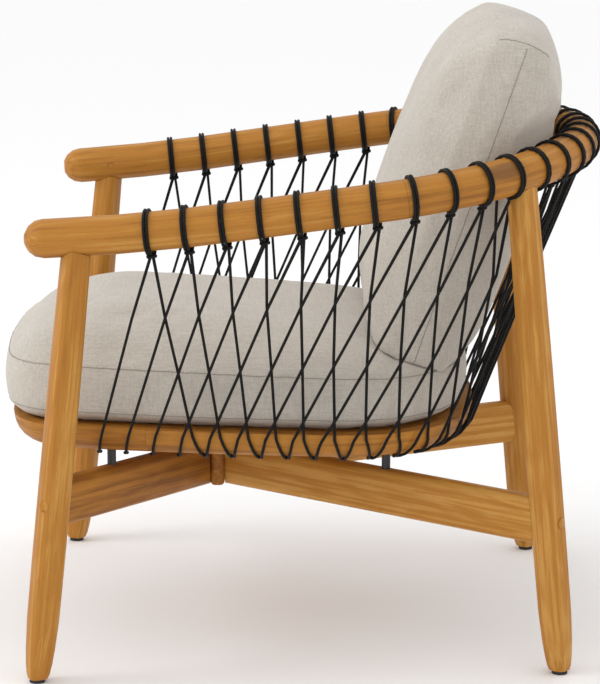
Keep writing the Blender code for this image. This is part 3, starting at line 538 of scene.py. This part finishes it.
def nearest_frames(coords, path):
    """For each point: arc length on the path, and its offsets outwards and upwards."""
    line = np.array([tuple(p) for p in path.points])
    a, b = line[:-1], line[1:]
    span = b - a
    share = np.einsum("nmk,mk->nm", coords[:, None] - a, span) / (span**2).sum(1)
    share = share.clip(0, 1)
    foot = a + share[..., None] * span
    gap = ((coords[:, None] - foot) ** 2).sum(2)
    best = gap.argmin(1)
    rows = np.arange(len(coords))
    arc = np.array(path.lengths)[best] + share[rows, best] * np.sqrt((span[best] ** 2).sum(1))
    offset = coords - foot[rows, best]
    along = span[best] / np.linalg.norm(span[best], axis=1)[:, None]
    out = np.stack([along[:, 1], -along[:, 0], 0 * along[:, 0]], 1)
    out /= np.linalg.norm(out, axis=1)[:, None]
    up = np.cross(along, out) * -1
    return np.stack([arc, (offset * out).sum(1), (offset * up).sum(1)], 1)


def straight_grain(coords):
    """Coordinates along and across a straight piece's own main axes."""
    middle = coords.mean(0)
    _, vectors = np.linalg.eigh(np.cov((coords - middle).T))
    axes = vectors[:, ::-1].T
    axes = np.array([v * np.sign(v[np.abs(v).argmax()]) for v in axes])
    return (coords - middle) @ axes.T


# How dark each kind of wooden piece is, by the start of its name. The front stretcher arms and the seat
# ring are darkened with painted shade, standing for the shade under the seat and its cushion. The rear
# stretcher arms are lightened with painted light, standing for the light that falls on them. The hub where
# the arms cross is the darkest.
TONES_AND_PAINTED_SHADE = {
    # painted shade on the front stretcher arms
    "stretcher_front": 0.66,
    "stretcher_hub": 0.80,
    # painted light on the rear stretcher arms
    "stretcher_rear": -0.12,
    "leg_front": 0.12,
    "leg_rear": 0.05,
    # painted shade on the seat ring under the cushion
    "seat_ring": 0.50,
    "rail": 0.30,
    "bolt_plug": 0.05,
}


def tone_and_shade_of(name):
    return next((tone for start, tone in TONES_AND_PAINTED_SHADE.items() if name.startswith(start)), 0.0)


def dress_wood(name, obj, number):
    """Writes a wood node's grain and tone, which its material reads; the tone holds painted shade or
    painted light for some pieces.
    """
    count = len(obj.data.vertices)
    coords = np.empty(count * 3)
    obj.data.vertices.foreach_get("co", coords)
    coords = coords.reshape(-1, 3) - (0, SHIFT, 0)
    if name.startswith("rail_") and "dowel" not in name:
        grain = nearest_frames(coords, RAIL)
    elif name.startswith("seat_ring"):
        ring = Path([*OUTLINE, OUTLINE[0]])
        grain = nearest_frames(coords - (0, 0, RING_TOP_Z), ring) + (number * 2.7, 0, 0)
    else:
        grain = straight_grain(coords) + (number * 1.9, 0.013 * (number % 5), 0.007 * (number % 3))
    layer = obj.data.attributes.new("grain", "FLOAT_VECTOR", "POINT")
    layer.data.foreach_set("vector", grain.astype(np.float32).ravel())
    layer = obj.data.attributes.new("tone", "FLOAT", "POINT")
    layer.data.foreach_set("value", np.full(count, tone_and_shade_of(name), np.float32))


def smooth_node(obj):
    """Shades a CAD node smooth across its flat facets, and sharp at its real edges."""
    for name in ("custom_normal", "sharp_edge", "sharp_face"):
        layer = obj.data.attributes.get(name)
        if layer:
            obj.data.attributes.remove(layer)
    obj.data.shade_smooth()
    weld = obj.modifiers.new("weld", "WELD")
    weld.merge_threshold = WELD_DISTANCE
    split = obj.modifiers.new("edges", "EDGE_SPLIT")
    split.split_angle = SHARP_ANGLE


def dress_cad():
    """Gives the CAD's wood, steel and rubber nodes their materials."""
    kinds = {
        "teak": teak_material(),
        "black_steel": plain_material("powder_coat", STEEL_COLOUR, 0.45, 0.3, 1400),
        "glide_rubber": plain_material("glide_rubber_matte", RUBBER_COLOUR, 0.7, 0.4, 900),
    }
    slots = {part["node"]: part["material_slot"] for part in frame["record"]["subparts"]}
    for number, (name, obj) in enumerate(sorted(frame["nodes"].items())):
        if slots[name] not in kinds:
            continue
        obj.data.materials.clear()
        obj.data.materials.append(kinds[slots[name]])
        if slots[name] == "teak":
            dress_wood(name, obj, number)
        smooth_node(obj)


# Tubes


def tube(points, radius, sides=10, closed=False):
    """Vertices, faces and lay (arc, angle) of a round tube along the points."""
    points = [Vector(p) for p in points]
    count = len(points)
    tangents = []
    for i in range(count):
        before = points[i - 1] if i or closed else points[0]
        after = points[(i + 1) % count] if i < count - 1 or closed else points[-1]
        tangents.append((after - before).normalized())
    side = tangents[0].orthogonal().normalized()
    verts, lay, arc = [], [], 0.0
    for i, (point, tangent) in enumerate(zip(points, tangents)):
        if i:
            arc += (point - points[i - 1]).length
        side = (side - tangent * side.dot(tangent)).normalized()
        other = tangent.cross(side)
        bend = 1.0
        if 0 < i < count - 1:
            turn = (point - points[i - 1]).angle(points[i + 1] - point, 0.0)
            bend = 1 / max(math.cos(turn / 2), 0.7)
        for k in range(sides):
            angle = 2 * math.pi * k / sides
            verts.append(point + (side * math.cos(angle) + other * math.sin(angle)) * radius * bend)
            lay.append((arc, angle, 0))
    faces = []
    spans = count if closed else count - 1
    for i in range(spans):
        for k in range(sides):
            a, b = i * sides + k, i * sides + (k + 1) % sides
            c, d = (a + sides) % (count * sides), (b + sides) % (count * sides)
            faces.append((a, b, d, c))
    if not closed:
        faces.append(tuple(reversed(range(sides))))
        faces.append(tuple(range((count - 1) * sides, count * sides)))
    return verts, faces, lay


def tubes_object(name, tubes, material):
    verts, faces, lay = [], [], []
    for more_verts, more_faces, more_lay in tubes:
        start = len(verts)
        verts += [v + Vector((0, SHIFT, 0)) for v in more_verts]
        faces += [tuple(i + start for i in face) for face in more_faces]
        lay += more_lay
    mesh = bpy.data.meshes.new(name)
    mesh.from_pydata(verts, [], faces)
    mesh.shade_smooth()
    layer = mesh.attributes.new("lay", "FLOAT_VECTOR", "POINT")
    layer.data.foreach_set("vector", np.array(lay, np.float32).ravel())
    mesh.materials.append(material)
    obj = bpy.data.objects.new(name, mesh)
    bpy.context.scene.collection.objects.link(obj)
    return obj


# Cord lacing


def wrap_frame(number):
    """Rail arc, point, direction, outward and upward directions at a wrap."""
    arc = RAIL.length / 2 - ((WRAP_COUNT - 1) / 2 - number) * WRAP_PITCH
    along = RAIL.tangent(arc)
    outward = Vector((along.y, -along.x, 0)).normalized()
    up = along.cross(outward)
    return arc, RAIL.at(arc), along, outward, up if up.z > 0 else -up


def hook_inset_line():
    """The lacing is pitched along the ring's inner hook line, as in the CAD."""
    moved = [p - n * HOOK_INSET for p, n in zip(OUTLINE, NORMALS)]
    return Path(moved[: len(OUTLINE) // 2 + 1])


HOOK_LINE = hook_inset_line()


def hook_frame(position):
    """Point and outward normal of the ring's outline at a hook, counted from the left front."""
    offset = ((WRAP_COUNT + WRAP_SKIP - 1) / 2 - position) * HOOK_PITCH
    index, part = HOOK_LINE.locate(HOOK_LINE.length - abs(offset))
    point = OUTLINE[index].lerp(OUTLINE[index + 1], part)
    normal = NORMALS[index].lerp(NORMALS[index + 1], part).normalized()
    if offset < 0:
        point, normal = Vector((-point.x, point.y, 0)), Vector((-normal.x, normal.y, 0))
    return point, normal


def hook_at(position, radius, angle):
    """Point round the ring's quarter round, at the angle below level."""
    point, out = hook_frame(position)
    reach = -RING_THICKNESS + radius * math.cos(angle)
    return point + out * reach + Vector((0, 0, RING_TOP_Z - radius * math.sin(angle)))


ANGLES = tuple(math.radians(a) for a in HOOK_ANGLES)
INNER = (RING_THICKNESS + CORD_RADIUS + CORD_GAP) / math.cos((ANGLES[1] - ANGLES[0]) / 2)
LAYER = 2 * CORD_RADIUS + LAYER_GAP
MIDDLE = (WRAP_COUNT + WRAP_SKIP - 1) / 2


def strand_position(top, foot, share):
    """Lacing position, in hooks, where a straight strand is at a share of its fall."""
    high, low = WRAP_PITCH * (1 - share), HOOK_PITCH * share
    return MIDDLE + ((top - MIDDLE) * high + (foot - MIDDLE) * low) / (high + low)


def strand_point(position, share, lip_share, offset):
    """Point of the laced surface between the rail's underside and the ring's lip."""
    _, top, along, outward, _ = wrap_frame(position - WRAP_SKIP / 2)
    high = top - Vector((0, 0, RAIL_RADIUS + CORD_RADIUS + CORD_GAP))
    low = hook_at(position, INNER + LAYER / 2, ANGLES[0])
    return high.lerp(low, share / lip_share) + outward * offset


def strand(wrap, rearwards):
    """Points from just under the wrap to the ring's underside, even in height."""
    top = wrap + WRAP_SKIP / 2
    hook = wrap + WRAP_SKIP if rearwards else wrap
    half_gap = HOOK_HALF_GAP / HOOK_PITCH
    foot = hook - half_gap if rearwards else hook + half_gap
    start = wrap_frame(wrap)[1].z - RAIL_RADIUS
    lip, end = (hook_at(hook, INNER, angle).z for angle in (ANGLES[0], ANGLES[-1]))
    lip_share = (start - lip) / (start - end)
    offset = -LAYER / 2 if rearwards else LAYER / 2
    points = []
    for step in range(1, WRAP_SKIP):
        high, low = WRAP_PITCH * step, HOOK_PITCH * (WRAP_SKIP - step)
        share = high / (high + low)
        if share < lip_share - LIP_MARGIN:
            position = strand_position(top, foot, share)
            points.append(strand_point(position, share, lip_share, offset))
    for angle in ANGLES:
        height = hook_at(hook, INNER, angle).z
        share = (start - height) / (start - end)
        fade = 1 - (angle - ANGLES[0]) / (ANGLES[-1] - ANGLES[0])
        radius = INNER + (0 if rearwards else LAYER * fade)
        points.append(hook_at(strand_position(top, foot, share), radius, angle))
    return points


def near_leg(wrap, rearwards):
    """True where a strand starts beside a rear leg and has to pass inside it."""
    arc = wrap_frame(wrap)[0]
    for side in (-1, 1):
        gap = RAIL.length / 2 + side * REAR_LEG_WRAPS * WRAP_PITCH - arc
        if abs(gap) < WRAP_PITCH * LEG_REACH and (gap > 0) == rearwards:
            return True
    return False


def knot_point(wrap, side):
    """Where a strand leaves the knot under its wrap."""
    _, centre, along, _, up = wrap_frame(wrap)
    return centre - up * (RAIL_RADIUS + CORD_RADIUS + KNOT_DROP) + along * side * KNOT_SPREAD


def turns(wrap, leave_in, leave_out):
    """Two turns round the rail, side by side."""
    _, centre, along, outward, up = wrap_frame(wrap)
    count = 2 * TURN_STEPS
    step = (4 * math.pi - leave_in - leave_out) / count
    radius = (RAIL_RADIUS + CORD_RADIUS + CORD_GAP) / math.cos(step / 2)
    points = []
    for i in range(count + 1):
        angle = leave_in + step * i
        shift = TURN_SHIFT * (2 * i / count - 1)
        around = outward * math.sin(angle) - up * math.cos(angle)
        points.append(centre + around * radius + along * shift)
    return points


def knot_band(wrap):
    """A short doubled hitch of cord round the two strands, just under the rail."""
    _, centre, along, outward, up = wrap_frame(wrap)
    middle = centre - up * (RAIL_RADIUS + CORD_RADIUS + KNOT_DROP - BAND_RISE)
    points = []
    for i in range(BAND_STEPS):
        angle = 2 * math.pi * i / BAND_STEPS
        x = math.cos(angle) * BAND_HALF_WIDTH
        y = math.sin(angle) * BAND_HALF_WIDTH
        if abs(math.sin(angle)) > 0.2:
            y += math.copysign(BAND_HALF_LENGTH - BAND_HALF_WIDTH, math.sin(angle))
        twist = up * BAND_TWIST * math.sin(2 * angle)
        points.append(middle + outward * x + along * y + twist)
    return tube(points, BAND_RADIUS, 8, closed=True)


def end_knot(position):
    """A small trefoil knot under the ring where a cord ends."""
    centre = hook_at(position, INNER + END_KNOT_DROP, ANGLES[-1])
    _, out = hook_frame(position)
    along = Vector((-out.y, out.x, 0))
    points = []
    for i in range(END_KNOT_STEPS):
        t = 2 * math.pi * i / END_KNOT_STEPS
        x = math.sin(t) + 2 * math.sin(2 * t)
        y = math.cos(t) - 2 * math.cos(2 * t)
        z = -math.sin(3 * t)
        points.append(centre + (along * x + out * y + Vector((0, 0, z))) * END_KNOT_SIZE)
    return tube(points, END_KNOT_RADIUS, 8, closed=True)


def build_lacing():
    """Four cords, each wound on every fourth wrap and run down to the hooks between."""
    material = cord_material()
    for letter, first in zip("abcd", range(WRAP_SKIP)):
        points = []
        tubes = []
        for wrap in range(first, WRAP_COUNT, WRAP_SKIP):
            beside_in, beside_out = near_leg(wrap, False), near_leg(wrap, True)
            points += list(reversed(strand(wrap, False)))
            if not beside_in:
                points.append(knot_point(wrap, -1))
            points += turns(
                wrap,
                -LEG_LEAVE_ANGLE if beside_in else LEAVE_ANGLE,
                LEG_LEAVE_ANGLE if beside_out else LEAVE_ANGLE,
            )
            if not beside_out:
                points.append(knot_point(wrap, 1))
            points += strand(wrap, True)
            if not (beside_in or beside_out):
                tubes.append(knot_band(wrap))
            last = wrap
        tubes.append(tube(points, CORD_RADIUS))
        tubes.append(end_knot(first))
        tubes.append(end_knot(last + WRAP_SKIP))
        cord = tubes_object(f"lacing_{letter}", tubes, material)
        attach(cord, "frame")
        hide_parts(f"weave_cord_{letter}")


# Cushions


def loft(rings):
    """Closed mesh through rings of equally many points, capped at both ends."""
    count = len(rings[0])
    verts = [p for ring in rings for p in ring]
    faces = []
    for r in range(len(rings) - 1):
        for k in range(count):
            a, b = r * count + k, r * count + (k + 1) % count
            faces.append((a, b, b + count, a + count))
    faces.append(tuple(reversed(range(count))))
    faces.append(tuple(range((len(rings) - 1) * count, len(rings) * count)))
    mesh = bpy.data.meshes.new("loft")
    mesh.from_pydata(verts, [], faces)
    work = bmesh.new()
    work.from_mesh(mesh)
    bmesh.ops.recalc_face_normals(work, faces=work.faces)
    work.to_mesh(mesh)
    work.free()
    return mesh


def crown(distance, reach):
    """How much of its full height a crown has, at a distance from the seam."""
    return 1 - math.exp(-distance / reach)


def seat_ring(inset, height, fall, shrink=0.0):
    """Outline ring inset by a distance, or shrunk towards the middle by a share."""
    centre = Vector((0, (SEAT_FRONT_Y + SEAT_REAR_Y) / 2, 0))
    moved = []
    for p, n in zip(OUTLINE, NORMALS):
        q = p - n * inset
        ahead = max(0.0, (SEAT_FRONT_Y + SEAT_NOSE_REACH - q.y) / SEAT_NOSE_REACH)
        moved.append(Vector((q.x, q.y - SEAT_NOSE * ahead * ahead, 0)))
    loop = Path([*moved, moved[0]])
    points = []
    for i in range(SEAT_RING_POINTS):
        p = loop.at(loop.length * i / SEAT_RING_POINTS).lerp(centre, shrink)
        points.append(Vector((p.x, p.y, height - fall * (p.y - centre.y))))
    return points


def seat_profile(inset=0.0):
    """Rings of the seat cushion, drawn in by the inset: underside, border, crowned top."""
    low = RING_TOP_Z + SEAT_BASE_GAP
    high = low + SEAT_EDGE
    rings = [seat_ring(SEAT_CORE_INSET, low, 0, SEAT_CORE_SHRINK)]
    for more, rise in SEAT_UNDERSIDE:
        rings.append(seat_ring(SEAT_INSET + inset + more, low + rise, 0))
    border = high - low - SEAT_LOWER_SEAM
    for share in (0.0, 0.2, 0.4, 0.6, 0.8, 1.0):
        bulge = SEAT_BULGE * math.sin(math.pi * share)
        z = low + SEAT_LOWER_SEAM + border * share
        rings.append(seat_ring(SEAT_INSET + inset + 0.002 - bulge, z, SEAT_EDGE_FALL * share))
    for step in SEAT_CROWN_STEPS:
        rise = crown(step * SEAT_STEP_LENGTH, SEAT_CROWN_REACH)
        z = high + (SEAT_CROWN - SEAT_EDGE - inset) * rise
        fall = SEAT_EDGE_FALL + (SEAT_FALL - SEAT_EDGE_FALL) * rise
        rings.append(seat_ring(SEAT_INSET + inset + 0.003, z, fall, step))
    return rings


def back_matrix():
    """Stands the back cushion on its foot, leaning back."""
    foot = Matrix.Translation((0, *BACK_FOOT))
    return foot @ Matrix.Rotation(-BACK_LEAN, 4, "X") @ Matrix.Translation((0, 0, BACK_HEIGHT / 2))


def back_outline(shrink, inset):
    """Rounded rectangle in the back cushion's own plane, with a bowed top edge."""
    half_w, half_h = BACK_WIDTH / 2 - inset, BACK_HEIGHT / 2 - inset
    points = []
    for quarter in range(4):
        right = 1 if quarter in (0, 3) else -1
        up = 1 if quarter < 2 else -1
        for i in range(9):
            angle = math.pi / 2 * (quarter + i / 8)
            x = right * (half_w - BACK_CORNER) + math.cos(angle) * BACK_CORNER
            z = up * (half_h - BACK_CORNER) + math.sin(angle) * BACK_CORNER
            points.append((x, z))
    loop = Path([(x, 0, z) for x, z in points + points[:1]])
    made = []
    for i in range(BACK_RING_POINTS):
        p = loop.at(loop.length * i / BACK_RING_POINTS)
        bow = BACK_TOP_BOW * (1 - (p.x / half_w) ** 2) * max(0.0, p.z / half_h)
        made.append(Vector((p.x * (1 - shrink), 0, (p.z + bow) * (1 - shrink))))
    return made


def back_profile(inset=0.0):
    """Rings of the back cushion from front to rear: deep crown, straight border, shallow crown."""
    rings = []
    front, rear = BACK_FRONT_EDGE - inset, BACK_REAR_EDGE - inset
    for step in BACK_CROWN_STEPS:
        rise = crown(step * BACK_STEP_LENGTH, BACK_CROWN_REACH)
        rings.append((step, -front - (BACK_FRONT_CROWN - inset / 2) * rise))
    for share in (-1.0, -0.6, -0.2, 0.2, 0.6, 1.0):
        rings.append((0.015 * share * share, share * (front if share < 0 else rear)))
    for step in reversed(BACK_CROWN_STEPS):
        rise = crown(step * BACK_STEP_LENGTH, BACK_CROWN_REACH)
        rings.append((step, rear + (BACK_REAR_CROWN - inset / 2) * rise))
    matrix = back_matrix()
    made = []
    for shrink, depth in rings:
        ring = back_outline(shrink, inset)
        made.append([matrix @ Vector((p.x, depth, p.z)) for p in ring])
    return made


def room_mesh():
    """Space inside the rail and the lacing, which widens above the rail."""
    lines = ([], [], [], [])
    for i in range(ROOM_STEPS + 1):
        arc = RAIL.length * i / ROOM_STEPS
        along = RAIL.tangent(arc)
        outward = Vector((along.y, -along.x, 0)).normalized()
        high = RAIL.at(arc) - outward * ROOM_INSET
        over = high + Vector((0, 0, ROOM_INSET))
        far = over + outward * ROOM_FLARE * (ROOM_TOP - over.z)
        point, normal = hook_frame((arc - RAIL.length / 2) / WRAP_PITCH + MIDDLE)
        low = point - normal * CORD_RADIUS
        places = ((low.x, low.y, RING_TOP_Z - RING_THICKNESS), high, over, (far.x, far.y, ROOM_TOP))
        for line, place in zip(lines, places):
            line.append(Vector(place) + Vector((0, SHIFT, 0)))
    return loft(lines)


def applied(obj):
    """Replaces an object's mesh by what its modifiers make of it."""
    graph = bpy.context.evaluated_depsgraph_get()
    mesh = bpy.data.meshes.new_from_object(obj.evaluated_get(graph))
    obj.modifiers.clear()
    obj.data = mesh


def coords_of(mesh):
    coords = np.empty(len(mesh.vertices) * 3)
    mesh.vertices.foreach_get("co", coords)
    return coords.reshape(-1, 3)


def set_coords(mesh, coords):
    mesh.vertices.foreach_set("co", coords.astype(np.float32).ravel())
    mesh.update()


def line_tree(lines):
    points = [p for line in lines for p in line]
    tree = KDTree(len(points))
    for i, p in enumerate(points):
        tree.insert(p, i)
    tree.balance()
    return tree


def swell(obj, seams):
    """Blows the cushion up as cloth, held at its seams, with each point's travel capped."""
    start = coords_of(obj.data)
    tree = line_tree(seams)
    group = obj.vertex_groups.new(name="held")
    for i, co in enumerate(start):
        near = tree.find(co)[2]
        weight = max(0.0, 1 - near / HOLD_REACH)
        if weight:
            group.add([i], weight, "REPLACE")
    cloth = obj.modifiers.new("cloth", "CLOTH")
    cloth.settings.quality = CLOTH_QUALITY
    cloth.settings.use_pressure = True
    cloth.settings.uniform_pressure_force = CLOTH_PRESSURE
    cloth.settings.effector_weights.gravity = 0
    cloth.settings.vertex_group_mass = "held"
    cloth.point_cache.frame_start, cloth.point_cache.frame_end = 1, CLOTH_FRAMES
    scene = bpy.context.scene
    for number in range(1, CLOTH_FRAMES + 1):
        scene.frame_set(number)
    applied(obj)
    scene.frame_set(1)
    travel = coords_of(obj.data) - start
    length = np.linalg.norm(travel, axis=1)
    scale = np.where(length > SWELL_CAP, SWELL_CAP / np.maximum(length, 1e-9), 1.0)
    set_coords(obj.data, start + travel * scale[:, None])


def carve(obj, lines):
    """Draws the cloth in along its seams, with small puckers, and adds a slight unevenness."""
    tree = line_tree(lines)
    coords = coords_of(obj.data)
    normals = np.empty(len(coords) * 3)
    obj.data.vertices.foreach_get("normal", normals)
    normals = normals.reshape(-1, 3)
    depth = np.empty(len(coords))
    for i, co in enumerate(coords):
        near = tree.find(co)[2]
        groove = SEAM_DEPTH * max(0.0, 1 - near / SEAM_REACH) ** 1.5
        spot = Vector(co)
        pucker = noise.noise(spot * 70) * PUCKER_DEPTH * math.exp(-near / PUCKER_REACH)
        uneven = noise.noise(spot * 11 + Vector((3, 1, 7))) * UNEVEN_DEPTH
        depth[i] = -groove + pucker + uneven
    set_coords(obj.data, coords + normals * depth[:, None])


def surface_of(mesh):
    return BVHTree.FromPolygons([v.co for v in mesh.vertices], [p.vertices for p in mesh.polygons])


def seam_tubes(obj, lines, closed):
    """Seam threads that lie in the carved grooves; their dark colour stands partly for painted shadow in
    the groove.
    """
    surface = surface_of(obj.data)
    tubes = []
    for line in lines:
        laid = []
        for p in line:
            spot, normal, _, _ = surface.find_nearest(p)
            laid.append(spot + normal * SEAM_RADIUS * 0.15 - Vector((0, SHIFT, 0)))
        tubes.append(tube(laid, SEAM_RADIUS, 6, closed=closed))
    return tubes


def soft_piece(name, rings_of, seams):
    """A cushion's smooth start shape, remeshed, blown up and subdivided."""
    shift = Vector((0, SHIFT, 0))
    inset = SWELL_START
    mesh = loft([[p + shift for p in ring] for ring in rings_of(inset)])
    obj = bpy.data.objects.new(name, mesh)
    bpy.context.scene.collection.objects.link(obj)
    remesh = obj.modifiers.new("remesh", "REMESH")
    remesh.mode = "VOXEL"
    remesh.voxel_size = VOXEL
    applied(obj)
    smooth = obj.modifiers.new("smooth", "SMOOTH")
    smooth.iterations = 3
    applied(obj)
    swell(obj, seams)
    smooth = obj.modifiers.new("smooth", "SMOOTH")
    smooth.iterations = 4
    subdivide = obj.modifiers.new("subdivide", "SUBSURF")
    subdivide.levels = subdivide.render_levels = 1
    applied(obj)
    obj.data.shade_smooth()
    return obj


def resampled(points, spacing):
    """Evenly spaced points along a closed line."""
    path = Path([*points, points[0]])
    count = max(2, round(path.length / spacing))
    return [path.at(path.length * i / count) for i in range(count)]


def seat_seams():
    """The seams along the lower and the upper edge of the border."""
    base = RING_TOP_Z + SEAT_BASE_GAP
    lines = []
    for height in (SEAT_LOWER_SEAM, SEAT_EDGE):
        ring = seat_ring(SEAT_INSET, base + height, SEAT_EDGE_FALL * height / SEAT_EDGE)
        lines.append([p + Vector((0, SHIFT, 0)) for p in resampled(ring, SEAM_SPACING)])
    return lines


def back_seams():
    """The seam up the middle of each side, and the short cross seams at its ends."""
    matrix = Matrix.Translation((0, SHIFT, 0)) @ back_matrix()
    ring = resampled(back_outline(0.0, 0.0), SEAM_SPACING)
    half = BACK_HEIGHT / 2 - BACK_CORNER * BACK_SEAM_MARGIN
    edge = BACK_WIDTH / 2 - BACK_CORNER
    sides = []
    for side in (-1, 1):
        line = sorted((p.z, p.x) for p in ring if p.x * side > edge and abs(p.z) < half)
        sides.append([matrix @ Vector((x, 0, z)) for z, x in line])
    corners = []
    for side in (-1, 1):
        for up in (-1, 1):
            corner = max(ring, key=lambda p: p.x * side + p.z * up)
            length = BACK_FRONT_EDGE + BACK_REAR_EDGE
            depths = [length * i / 40 - BACK_FRONT_EDGE for i in range(41)]
            line = [matrix @ Vector((corner.x, depth, corner.z)) for depth in depths]
            corners.append(line)
    return sides, corners


def settle(obj, below):
    """Lifts whatever of the cushion is under the surface it stands on."""
    surface = surface_of(below.data)
    coords = coords_of(obj.data)
    for co in coords:
        hit = surface.ray_cast(Vector((co[0], co[1], 1.0)), Vector((0, 0, -1)))[0]
        if hit and co[2] < hit.z + CUSHION_LIFT:
            co[2] = hit.z + CUSHION_LIFT
    set_coords(obj.data, coords)


def press(obj, room):
    """Moves whatever of the cushion is outside the room onto its surface."""
    surface = surface_of(room)
    coords = coords_of(obj.data)
    for co in coords:
        spot, normal, _, _ = surface.find_nearest(Vector(co))
        if (Vector(co) - spot).dot(normal) > 0:
            co[:] = spot
    set_coords(obj.data, coords)


def build_seat(seam_thread_and_shade):
    seams = seat_seams()
    seat = soft_piece("seat_pad", seat_profile, seams)
    carve(seat, seams)
    coords = coords_of(seat.data)
    coords[:, 2] = np.maximum(coords[:, 2], RING_TOP_Z + SEAT_REST_GAP)
    set_coords(seat.data, coords)
    seat.data.materials.clear()
    seat.data.materials.append(linen_material("linen_seat", (0, 0, 0)))
    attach(seat, "seat_cushion")
    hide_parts("seat_cushion")
    thread_and_shade_tubes = tubes_object("seat_seams", seam_tubes(seat, seams, True), seam_thread_and_shade)
    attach(thread_and_shade_tubes, "seat_cushion")
    return seat


def build_back(seat, seam_thread_and_shade):
    sides, corners = back_seams()
    back = soft_piece("back_pad", back_profile, sides + corners)
    carve(back, sides + corners)
    press(back, room_mesh())
    settle(back, seat)
    back.data.materials.clear()
    back.data.materials.append(linen_material("linen_back", (BACK_LEAN, 0, 0)))
    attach(back, "back_cushion")
    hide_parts("back_cushion")
    tubes = seam_tubes(back, sides + corners, False)
    thread_and_shade_tubes = tubes_object("back_seams", tubes, seam_thread_and_shade)
    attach(thread_and_shade_tubes, "back_cushion")


build_camera()
build_stage()
dress_cad()
build_lacing()
# the seams' dark thread colour is partly painted shadow of their grooves
seam_thread_and_shadow = thread_and_groove_shade_material()
build_back(build_seat(seam_thread_and_shadow), seam_thread_and_shadow)
